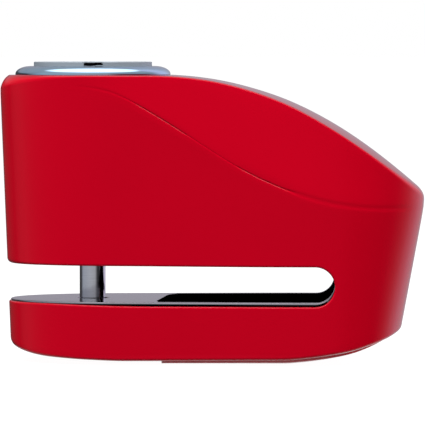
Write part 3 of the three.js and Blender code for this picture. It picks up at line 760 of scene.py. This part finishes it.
def body_solid(inset, drop=0.0):
    """The body's whole envelope, inset inside its surface; drop lowers the underside."""
    stations, _, _ = columns(30, 30, 10, 26)
    n = len(stations)
    cols = (stations, np.zeros(n), -1)    # no slot
    verts, faces = [], []
    for side in (-1, 1):
        for upper in (False, True):
            grid = profile_grid(cols, upper, inset, [(0, inset)], 8 if upper else 5,
                                hood_steps=5, round_steps=6, cap_steps=10, drop=drop)
            faces += grid_faces(len(grid), n, len(verts))
            verts += side_verts(grid, 0, side)
    return new_object("tool_body", verts, faces, merge=4e-6)


# --------------------------------------------------------------------- shells
PLATE_X0, PLATE_X1, PLATE_INSET, PLATE_Z = 15.5, 65.4, 2.2, -13.4
PLATE_CORNER_R = 1.5
PLATE_SCREWS = (20.5, 40.5)                              # x
PLATE_SCREW_BORE_R = 1.6
SHELL_SCREWS = [(57.0, 19.5), (40.0, 33.5), (60.0, -3.6)]    # x, z
BOSS_R, SHANK_R, HEAD_R, HEAD_H = 3.9, 1.25, 2.3, 1.8


def head_base(x):
    """Y of the underside of a shell screw's head."""
    return half_width(x) - (4.2 if x > 50 else 3.5)


def plate_outline(grow):
    """Plan outline of the cover plate, following the body's sides."""
    points = []
    for t in np.linspace(0, 1, 61):
        x = PLATE_X0 - grow + (PLATE_X1 - PLATE_X0 + 2 * grow) * (1 - (1 - t) ** 3)
        leaning = NOSE_LEAN * 18 * min(max((x - 40) / 24, 0), 1)
        width = half_width(x + PLATE_INSET * 1.6 + leaning) - PLATE_INSET + grow
        points.append((x, max(width, 1.0)))
    x0, width0 = points[0]
    r = PLATE_CORNER_R
    corner = [(x0 + r * (1 - math.sin(a)), width0 - r * (1 - math.cos(a)))
              for a in np.linspace(math.pi / 2, 0, 9)]
    points = corner + [p for p in points[1:] if p[0] > x0 + r + 0.05]
    return [(x, -y) for x, y in points] + [(x, y) for x, y in reversed(points)]


mid_wall = body_solid(WALL / 2)
plate_space = prism(plate_outline(0.25), -18, -4)
cut(plate_space, body_solid(0.75))

for side, name in ((-1, "front_shell"), (1, "rear_shell")):
    shell = new_object(f"{name}_skin", *half_shell(side))
    boss_gap = SEAM + 0.04
    for x, z in SHELL_SCREWS:
        if side < 0:
            boss = cyl_y(BOSS_R - 1, -30, -boss_gap, x, z)
        else:
            boss = cyl_y(BOSS_R, boss_gap, 30, x, z)
        boolean(boss, mid_wall, "INTERSECT", drop=False)
        boolean(shell, boss, "UNION")
    cut(shell, cyl_z(15.4, 44, 52, segments=160))    # opening in the roof
    boolean(shell, plate_space, drop=False)
    for x, z in SHELL_SCREWS:
        if side > 0:
            base_y = head_base(x)
            cut(shell, cyl_y(SHANK_R + 0.3, -1, base_y + 1, x, z, 40),
                cyl_y(HEAD_R + 0.25, base_y - 0.05, 40, x, z))
        else:
            cut(shell, cyl_y(SHANK_R + 0.1, -half_width(x) + 5.5, 1, x, z, 40))
    for x in PLATE_SCREWS:
        cut(shell, cyl_z(PLATE_SCREW_BORE_R, -20, -5, x))
    tidy(shell)
    dress(shell, RED, name)
drop_object(mid_wall)
drop_object(plate_space)

# ---------------------------------------------------------------- cover plate
COUNTERSINK = 1.15

cover = prism(plate_outline(0), -18, -4, name="bottom_cover")
boolean(cover, body_solid(0, 0.38), "INTERSECT")
cut(cover, body_solid(0.7), block(0, 100, -40, 40, -20, PLATE_Z))
for x in PLATE_SCREWS:
    cut(cover, cyl_z(1.5, -20, -5, x),
        cyl_z(2.7, PLATE_Z - 0.1, PLATE_Z + COUNTERSINK, x, top_radius=1.45))
tidy(cover, 30)
bevel_edges(cover, width=0.22, angle=55)
dress(cover, SATIN, "bottom_plate")

# ----------------------------------------------------------------- steel core
CORE_INSET = 2.0
LIP_INSET, LIP_ROUND = 0.45, 0.16    # the rim round the slot and its rounding
SEAT_R, LINER_R = 5.4, 5.15          # round the slot's end, to the liner's back
PIN_BORE_R = 3.05
CYLINDER_BORE_R = 13.2


def core_solid():
    """The U-shaped core before its bores: everything inside the shells but the slot."""
    cols = columns(40, 36, 18, 30)
    stations, turn, end_col = cols
    n = len(stations)
    lip = 0.34 - 0.06 * toward_mouth(stations) ** 4
    rim_r = JAW_R + lip / 2 + 0.04

    def section(x, z, inset):
        station = np.where(stations > 40, station_at(x, z), x)
        wall_x, wall_y, _ = wall(station, z, inset)
        return np.stack([np.where(x > 20, x, wall_x), wall_y, z], 1)

    verts, faces = [], []
    for side in (-1, 1):
        for upper in (False, True):
            sign = 1.0 if upper else -1.0
            slot_x = np.where(turn > 0, JAW_END_X + JAW_R * np.sin(turn), stations)
            slot_z = JAW_R + sign * JAW_R * np.cos(turn)
            rim_x = np.where(turn > 0, RIM_END_X + rim_r * np.sin(turn), stations)
            rim_z = np.where(turn > 0, (rim_r - lip) + sign * rim_r * np.cos(turn),
                             slot_z - (0 if upper else lip))
            grow = np.ones(n)
            if upper:
                # no rim along the roof; it grows in round the end
                grow = np.where(turn > 0, smooth((turn - 0.35) / 0.6), 0.0)
                rim_x = slot_x + (rim_x - slot_x) * grow
                rim_z = slot_z + (rim_z - slot_z) * grow

            def rim_inset(inset):
                return inset * grow + (1 - grow) * np.maximum(inset, CORE_INSET)

            rows = []
            for t in np.linspace(0, 1, 5):
                row = section(slot_x, slot_z, 3.0)
                row[:, 1] = np.maximum(row[:, 1], 0) * t
                rows.append(row)
            rows.append(section(slot_x, slot_z, rim_inset(1.6)))
            rows.append(section(slot_x, slot_z, rim_inset(LIP_INSET + LIP_ROUND)))
            for t in (0.25, 0.5, 0.75, 1.0):
                out = 0.7 * (1 - math.cos(t * math.pi / 2))
                inset = LIP_INSET + LIP_ROUND * (1 - math.sin(t * math.pi / 2))
                rows.append(section(slot_x + (rim_x - slot_x) * out,
                                    slot_z + (rim_z - slot_z) * out, rim_inset(inset)))
            rows.append(section(rim_x, rim_z, rim_inset(LIP_INSET)))
            rows.append(section(rim_x, rim_z, CORE_INSET))
            join_row = len(rows)
            outside = profile_grid(cols, upper, CORE_INSET,
                                   [(-0.05, CORE_INSET), (JOIN, CORE_INSET)],
                                   wall_steps=6, hood_steps=3, round_steps=3, cap_steps=4)
            grid = np.concatenate([np.array(rows), outside[1:]], 0)
            faces += slotted_faces(len(grid), n, len(verts), end_col, join_row)
            verts += side_verts(grid, 0, side)
    return verts, faces


def end_arc(radius):
    """XZ points round the steel's closed end, from the bottom up, without the ends."""
    return [(JAW_END_X + radius * math.sin(t), JAW_R - radius * math.cos(t))
            for t in np.linspace(0, math.pi, 33)[1:-1]]


def left_of_liner(grow):
    """Tool for the region beyond the liner's slanting rounded end."""
    front, rear = 14.6 - grow, 16.2 - grow
    edge = [(front + 1.0, -30), (front + 0.35, -15), (front + 0.1, -13.4), (front, -12.4),
            (rear, 10.6), (rear + 0.18, 12.2), (rear + 0.5, 13.6), (rear + 1.0, 15.0),
            (rear + 1.7, 16.2), (rear + 4, 30)]
    return prism(edge + [(-40, 30), (-40, -30)], -10, 20)


core = new_object("steel_core_body", *core_solid(), merge=6e-6)
seat_low, seat_high = JAW_R - SEAT_R, JAW_R + SEAT_R
seat = prism([(5, seat_low), (JAW_END_X, seat_low)] + end_arc(SEAT_R)
             + [(JAW_END_X, seat_high), (43.5, seat_high), (43.5, 6.0), (JAW_END_X, 6.0),
                (50.4, 4.0), (JAW_END_X, 1.0), (5, 1.0)], -30, 30, "xz")
cut(seat, left_of_liner(0.3))
boolean(seat, body_solid(2.62), "INTERSECT")
cut(core, seat)
# side view that the core is trimmed to
boolean(core, prism([(-30, -20), (55.6, -20), (55.6, 13), (50, 13), (50, 22), (19, 22),
                     (19, 46.4), (-30, 46.4)], -40, 40, "xz"), "INTERSECT")
cut(core,
    cyl_z(CYLINDER_BORE_R, 13.0, 60, segments=128),
    cyl_z(15.3, 41.7, 60, segments=128),                # wider mouth of that bore
    cyl_z(5.5, 4, 14.0),                                # for the guide bush
    cyl_z(PIN_BORE_R, -7.2, 1.0),
    cyl_z(PIN_BORE_R, -0.6, 0.05, top_radius=3.6),      # chamfer at the lower jaw's face
    block(0, 15.7, -4.45, 4.45, 23.4, 40.2),            # pocket right of the bore
    cyl_y(2.3, 11, 30, 0, 38))                          # hole through to the rear
for x in PLATE_SCREWS:
    cut(core, cyl_z(PLATE_SCREW_BORE_R, -20, -7.2, x))
for x, z in SHELL_SCREWS:
    cut(core, cyl_y(BOSS_R + 0.3, -40, 40, x, z))
tidy(core, 32)
dress(core, JAW, "steel_core")
# painted shade: the flanks inside the shells get the black material, so the gaps between
# steel and shells read dark
flank_low, flank_high = [world((0, 0, z))[2] for z in (-0.33, 8.05)]
paint_shade_black(core, lambda centre: (centre[2] < flank_low or centre[2] > flank_high)
        and abs(centre[1]) > 0.0075)

# --------------------------------------------------------------- throat liner
# floor strip, round the closed end, short top leg
LINER_X0, LINER_LEG_X = 8.0, 43.8
liner_low, liner_high = JAW_R - LINER_R, JAW_R + LINER_R
liner = prism([(LINER_X0, liner_low), (JAW_END_X, liner_low)] + end_arc(LINER_R)
              + [(JAW_END_X, liner_high), (LINER_LEG_X, liner_high),
                 (LINER_LEG_X, 2 * JAW_R), (JAW_END_X, 2 * JAW_R)]
              + end_arc(JAW_R)[::-1] + [(JAW_END_X, 0.0), (LINER_X0, 0.0)],
              -30, 30, "xz", name="throat_liner_strip")
cut(liner, left_of_liner(0.0))
boolean(liner, body_solid(2.92), "INTERSECT")
tidy(liner, 35)
bevel_edges(liner, width=0.18, angle=50)
dress(liner, LINER_AND_SHADE, "throat_liner")

# -------------------------------------------------------- bezel ring and seal
ring = lathe("bezel_ring_dome", [
    (CYLINDER_BORE_R, 48.1), *arc(13.55, 50.3, 0.35, 180, 90, 6),
    *[(13.55 + 3.4 * math.sin(t), 48.9 + 1.75 * math.cos(t))
      for t in np.linspace(0.06, math.pi / 2, 26)],
    (16.93, 48.78), (16.85, 48.74), (15.0, 48.74), (15.0, 42.0), (14.1, 42.0), (14.1, 48.1)],
    192)
dress(ring, CHROME, "bezel_ring")

SEAL_R, SEAL_RIB = 13.22, 0.12
seal = lathe("wiper_seal_lip", [
    (SEAL_R, 42.3),
    *[(SEAL_R + SEAL_RIB * (k % 2), z) for k, z in enumerate(np.linspace(43, 47.2, 8))],
    (SEAL_R, 47.55), (13.3, 47.7), (13.8, 47.7), (13.8, 42.3)], 128)
dress(seal, LINER_AND_SHADE, "wiper_seal")

# ----------------------------------------------------------- cylinder housing
HOUSING_R, HOUSING_TOP = 12.9, 51.6
RIM_ROUND, RIM_INNER_R, RIM_INNER_ROUND = 0.16, 11.4, 0.12
CROSS_HOLE_R, CROSS_HOLE_Z = 1.2, 21.5    # across the housing and the pin


def rim_pocket(x_drops, y_high):
    """Tool for a pocket in the front of the rim, from (x, drop below the top) points."""
    return prism([(x, HOUSING_TOP + drop) for x, drop in x_drops], -14, y_high, "xz")


housing = lathe("cylinder_housing_body", [
    (0, 19.5), (12.3, 19.5), *arc(HOUSING_R - 0.3, 19.8, 0.3, -90, 0, 4),
    (HOUSING_R, HOUSING_TOP - RIM_ROUND),
    *arc(HOUSING_R - RIM_ROUND, HOUSING_TOP - RIM_ROUND, RIM_ROUND, 0, 90, 5),
    *arc(RIM_INNER_R + RIM_INNER_ROUND, HOUSING_TOP - RIM_INNER_ROUND, RIM_INNER_ROUND,
         90, 180, 4),
    (RIM_INNER_R, 50.2), (7.0, 50.2), (7.0, 29.4), (5.4, 29.4), (5.4, 26.6), (0, 26.6)], 192)
cut(housing,
    rim_pocket([(-1.45, -0.2), (1.0, -0.2), (1.0, 1), (-1.45, 1)], -10.5),
    rim_pocket([(-1.4, -0.82), (0.1, -0.92), (1.3, -0.78), (1.3, -0.15), (-1.3, -0.15)],
               -11.7),
    rim_pocket([(1.2, -0.74), (2.75, -0.7), (2.75, -0.4), (1.2, -0.36)], -12.0),
    cyl_z(PIN_BORE_R, 17, 24),
    block(-1.9, 1.9, 10.6, 20, 23.6, 39.9),         # upright slot at the rear
    block(-9.2, 20, -4.3, 4.3, 23.6, 26.65),        # cross channel, open to the right
    cyl_y(CROSS_HOLE_R, -20, 20, 0, CROSS_HOLE_Z),
    block(-1.1, 1.1, 0, 7.9, 31, 48.2))             # groove beside the key barrel
tidy(housing)
dress(housing, TURNED, "cylinder_housing", body="plunger")
# painted shade: the pocket in the rim gets the black material, so it reads dark
pocket_low = world((-1.6, -12.85, HOUSING_TOP - 1.0))
pocket_high = world((2.9, -11.6, HOUSING_TOP - 0.1))
paint_shade_black(housing, lambda centre: all(pocket_low[k] < centre[k] < pocket_high[k]
                                    for k in range(3)))

FACE_Z = 51.1
face = lathe("face_plate_disc", [
    (5.3, 50.5), (11.1, 50.5), (11.1, 50.95), (10.95, FACE_Z),
    *[(r, FACE_Z - 0.05 * (k % 2)) for k, r in enumerate(np.linspace(10.4, 9.4, 7))],
    (9.2, FACE_Z), (5.42, FACE_Z), (5.3, 50.98)], 160)
cut(face, block(-1.95, 1.95, -20, -10.2, 50, 60))
tidy(face)
dress(face, FACE, "face_plate", body="plunger")

# ----------------------------------------------------------------- key barrel
plug = lathe("key_plug_barrel", [
    (0, 29.7), (6.5, 29.7), (6.7, 29.9), (6.7, 49.7), (6.5, 49.9), (5.0, 49.9),
    (5.0, 50.98), (4.9, FACE_Z), (4.5, FACE_Z), (4.4, 51.0), (4.4, 50.3), (0, 50.3)], 128)
cut(plug,
    cyl_z(5.7, 31.4, 48.9),                         # hollow for the discs
    block(-1.1, 1.1, -3.4, 3.4, 30, 60),            # keyway
    block(-2.3, 2.3, -2.3, 2.3, 29, 32),            # square socket underneath
    block(-1.05, 1.05, 4.5, 8, 31.4, 47.8))         # slot in the rear wall
tidy(plug)
dress(plug, BRASS, "key_plug", body="key_barrel")

KEYHOLE_R, KEYHOLE_Y = 0.9, 2.3    # round ends of the keyhole
shield = lathe("keyhole_shield_disc", [(0, 50.6), (4.1, 50.6), (4.1, 50.85), (4.0, 50.95),
                                       (0, 50.95)], 96)
cut(shield, prism([(KEYHOLE_R * math.cos(t), y + KEYHOLE_R * math.sin(t))
                   for y, start in ((KEYHOLE_Y, 0), (-KEYHOLE_Y, math.pi))
                   for t in np.linspace(start, start + math.pi, 13)], 50, 52))
tidy(shield)
dress(shield, OXIDE, "keyhole_shield", body="key_barrel")

# --------------------------------------------------------------- pin and bush
PIN_R = 2.84
pin = lathe("locking_pin_rod", [
    (0, PIN_TIP_Z), (1.75, PIN_TIP_Z), *arc(1.95, -3.9, 0.3, -90, -45, 3), (2.7, -3.4),
    *arc(PIN_R - 0.3, -3.15, 0.3, -30, 0, 3), (PIN_R, 23.2), (0, 23.2)], 128)
cut(pin, cyl_y(CROSS_HOLE_R, -10, 10, 0, CROSS_HOLE_Z))
tidy(pin)
for vertex in pin.data.vertices:    # the pin sits 0.11 mm left of its axis
    vertex.co.x -= 0.00011
dress(pin, PIN, "locking_pin", body="plunger")
bush = lathe("pin_guide_bush_sleeve", [
    (PIN_BORE_R, 8.35), (3.3, 8.1), (5.05, 8.1), (5.2, 8.25), (5.2, 13.3), (7.0, 13.3),
    (7.0, 14.3), (PIN_BORE_R, 14.3)])
dress(bush, BRASS, "pin_guide_bush")

# --------------------------------------------------------------------- screws
for i, (x, z) in enumerate(SHELL_SCREWS, 1):
    base_y, tip_y = head_base(x), -half_width(x) + 6.2
    top_y = base_y + HEAD_H
    screw = lathe(f"shell_screw_{i}_cap", [
        (0, tip_y), (SHANK_R - 0.2, tip_y), (SHANK_R, tip_y + 0.3), (SHANK_R, base_y),
        (HEAD_R, base_y), (HEAD_R, top_y - 0.25), (HEAD_R - 0.25, top_y), (0, top_y)],
        64, "y", (x, 0, z))
    cut(screw, prism(hexagon(1.0, x, z), base_y + 0.6, top_y + 1, "xz"))
    tidy(screw)
    dress(screw, OXIDE, f"shell_screw_{i}")
for i, x in enumerate(PLATE_SCREWS, 1):
    profile = [(0, 0.06), (2.2, 0.06), (2.3, 0.2), (1.2, COUNTERSINK), (1.2, 5.4), (1.0, 5.6),
               (0, 5.6)]    # radius, height above the plate's underside
    screw = lathe(f"plate_screw_{i}_cap", [(r, PLATE_Z + height) for r, height in profile],
                  64, at=(x, 0, 0))
    cut(screw, prism(hexagon(0.9, x, 0), PLATE_Z - 1, PLATE_Z + 0.85))
    tidy(screw)
    dress(screw, OXIDE, f"plate_screw_{i}")


# -------------------------------------------------------------------- springs
def coil(name, radius, wire, turns, length, per_turn, sides, place):
    """Round wire of radius wire wound along +Z with closed ends; place maps (x, y, z) to
    the design frame."""
    n = int(turns * per_turn)
    verts, faces = [], []
    for i in range(n + 1):
        turn = turns * i / n
        rise = float(np.clip((turn - 0.6) / (turns - 1.2), 0, 1))
        a = 2 * math.pi * turn
        thick = wire * (0.55 if i in (0, n) else 1.0)
        z = wire + (length - 2 * wire) * rise
        for k in range(sides):
            b = 2 * math.pi * k / sides
            r = radius + thick * math.cos(b)
            verts.append(place(r * math.cos(a), r * math.sin(a), z + thick * math.sin(b)))
    for i in range(n):
        for k in range(sides):
            near = i * sides + k
            beside = i * sides + (k + 1) % sides
            faces.append((near, beside, beside + sides, near + sides))
    faces.append(tuple(range(sides))[::-1])
    faces.append(tuple(n * sides + k for k in range(sides)))
    return new_object(name, world(np.array(verts)), faces, sharp=50)


return_spring = coil("return_spring_coil", radius=9.6, wire=0.5, turns=4, length=6.0,
                     per_turn=64, sides=14, place=lambda x, y, z: (x, y, 13.2 + z))
dress(return_spring, SPRING, "return_spring")
LATCH_X, LATCH_Y, LATCH_Z = LATCH_START = (-8.9, 2.0, 25.1)    # it lies along +X from here
latch_spring = coil("latch_spring_coil", radius=0.55, wire=0.14, turns=9, length=7.6,
                    per_turn=28, sides=10,
                    place=lambda x, y, z: (LATCH_X + z, LATCH_Y + y, LATCH_Z - x))
dress(latch_spring, SPRING, "latch_spring", body="plunger")
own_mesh(latch_spring)

# -------------------------------------------------------------- carried nodes
for name, ob in frame["nodes"].items():
    if name.startswith("lock_disc"):
        paint(ob, BRASS)
    elif name in ("latch_bolt", "side_bar"):
        paint(ob, JAW)
    elif name in ("guide_screw", "drive_cam", "pin_cross_dowel"):
        paint(ob, OXIDE)


# ----------------------------------------------------- floor, lengths in metres
def floor_material():
    """Pale floor, glowing to the camera and in reflections. Reflections lose it away from
    the lock, and from below it is clear."""
    mat, tree, shader = material("pale_floor", {
        "Base Color": (0.12, 0.12, 0.12, 1), "Roughness": 0.8, "Specular IOR Level": 0.0,
        "Emission Color": (1, 1, 1, 1)})
    rays = add(tree, "LightPath").outputs
    geometry = add(tree, "NewGeometry").outputs
    seen = add(tree, "Math", {0: rays["Is Camera Ray"], 1: rays["Is Glossy Ray"]},
               operation="MAXIMUM")
    # 0.12 for other rays, 0.98 when seen
    glow = add(tree, "Math", {0: seen.outputs[0], 1: 0.86, 2: 0.12}, operation="MULTIPLY_ADD")
    feed(shader, {"Emission Strength": glow.outputs[0]})
    distance = add(tree, "VectorMath", {0: geometry["Position"]}, operation="LENGTH")
    far = add(tree, "MapRange", {"From Min": 0.040, "From Max": 0.052,
                                 "Value": distance.outputs["Value"]},
              interpolation_type="SMOOTHSTEP")
    hidden = add(tree, "Math", {0: far.outputs["Result"], 1: rays["Is Glossy Ray"]},
                 operation="MULTIPLY")
    clear = add(tree, "Math", {0: hidden.outputs[0], 1: geometry["Backfacing"]},
                operation="MAXIMUM")
    mixed = add(tree, "MixShader", {"Fac": clear.outputs[0], 1: shader.outputs[0],
                                    2: add(tree, "BsdfTransparent").outputs[0]})
    feed(tree.nodes["Material Output"], {"Surface": mixed.outputs[0]})
    return mat


floor_mesh = bpy.data.meshes.new("floor")
floor_mesh.from_pydata([(-30, -0.42, 0), (30, -0.42, 0), (30, 30, 0), (-30, 30, 0)], [],
                       [(0, 1, 2, 3)])
floor = bpy.data.objects.new("floor", floor_mesh)
bpy.context.scene.collection.objects.link(floor)
floor_mesh.materials.append(floor_material())
floor.location.z = -0.0002

# ---------------------------------------------------------------------- world
# studio walls as seen in reflections: (azimuth from the front in degrees, positive to
# the right, colour)
STUDIO_WALLS = [
    (-180, (0.40, 0.385, 0.44)), (-173, (0.38, 0.36, 0.41)), (-167, 0.07), (-115, 0.05),
    (-90, (0.40, 0.42, 0.46)), (-20, (0.50, 0.51, 0.53)), (24, 0.46), (44, 0.05),
    (79, 0.02), (91, (0.11, 0.10, 0.12)), (106, (0.34, 0.31, 0.37)),
    (126, (0.70, 0.63, 0.77)), (142, (0.72, 0.65, 0.79)), (156, (0.56, 0.53, 0.60)),
    (170, (0.44, 0.42, 0.48)), (180, (0.40, 0.385, 0.44))]
# (direction's Z, colour): towards the zenith it turns into a broad bright ceiling
STUDIO_CEILING = [(0.0, 0.0), (0.12, 0.0), (0.26, (0.34, 0.33, 0.36)),
                  (0.76, (0.42, 0.42, 0.43)), (0.85, 1.9), (1.0, 2.0)]
# (direction's Z, grey) for rays that are neither camera nor glossy
SOFT_SKY = [(0.0, 0.08), (0.45, 0.12), (0.75, 0.55), (1.0, 0.65)]

scene = bpy.context.scene
studio = bpy.data.worlds.new("studio")
scene.world = studio
studio.use_nodes = True
tree = studio.node_tree
tree.nodes.clear()
rays = add(tree, "LightPath").outputs
coords = add(tree, "TexCoord")
direction = add(tree, "SeparateXYZ", {0: coords.outputs["Generated"]}).outputs
forward = add(tree, "Math", {0: direction["Y"], 1: -1.0}, operation="MULTIPLY")
azimuth = add(tree, "Math", {0: direction["X"], 1: forward.outputs[0]}, operation="ARCTAN2")
turned_by = add(tree, "MapRange", {"From Min": -math.pi, "From Max": math.pi,
                                   "Value": azimuth.outputs[0]})
walls = ramp(tree, turned_by.outputs["Result"],
             [((degrees + 180) / 360, colour) for degrees, colour in STUDIO_WALLS])
ceiling = ramp(tree, direction["Z"], STUDIO_CEILING)
room = add(tree, "Mix", {"Factor": 1.0, "A": walls, "B": ceiling},
           data_type="RGBA", blend_type="LIGHTEN")
reflected = add(tree, "Background", {"Strength": 1.0, "Color": room.outputs["Result"]})
soft_light = add(tree, "Background", {"Color": ramp(tree, direction["Z"], SOFT_SKY)})
backdrop = add(tree, "Background", {"Color": (1, 1, 1, 1), "Strength": 1.0})
lighting = add(tree, "MixShader", {"Fac": rays["Is Glossy Ray"], 1: soft_light.outputs[0],
                                   2: reflected.outputs[0]})
sky = add(tree, "MixShader", {"Fac": rays["Is Camera Ray"], 1: lighting.outputs[0],
                              2: backdrop.outputs[0]})
add(tree, "OutputWorld", {"Surface": sky.outputs[0]})


# ---------------------------------------- lights and camera, lengths in metres
def aim(ob, target):
    direction = Vector(target) - ob.location
    ob.rotation_euler = direction.to_track_quat("-Z", "Y").to_euler()


def area_light(name, location, size, power):
    """Square light on the lock, kept out of reflections."""
    light = bpy.data.lights.new(name, "AREA")
    light.energy = power
    light.shape = "RECTANGLE"
    light.size = size
    light.size_y = size
    ob = bpy.data.objects.new(name, light)
    ob.location = location
    aim(ob, (0, 0, 0.03))
    scene.collection.objects.link(ob)
    ob.visible_glossy = False


area_light("key", location=(-0.28, -0.36, 1.05), size=0.7, power=22.8)
area_light("side", location=(0.9, -0.12, 0.35), size=0.6, power=4.6)

camera_data = bpy.data.cameras.new("cam")
camera_data.sensor_width = 36.0
camera_data.lens = 399.6
camera_data.clip_start = 0.01
camera_data.clip_end = 20
camera = bpy.data.objects.new("cam", camera_data)
camera.location = world((48.68, -1030.0, 56.03))
aim(camera, world((26.12, 0.0, 18.64)))
scene.collection.objects.link(camera)
scene.camera = camera
scene.view_settings.view_transform = "Standard"
scene.view_settings.look = "None"
scene.view_settings.exposure = 0.0
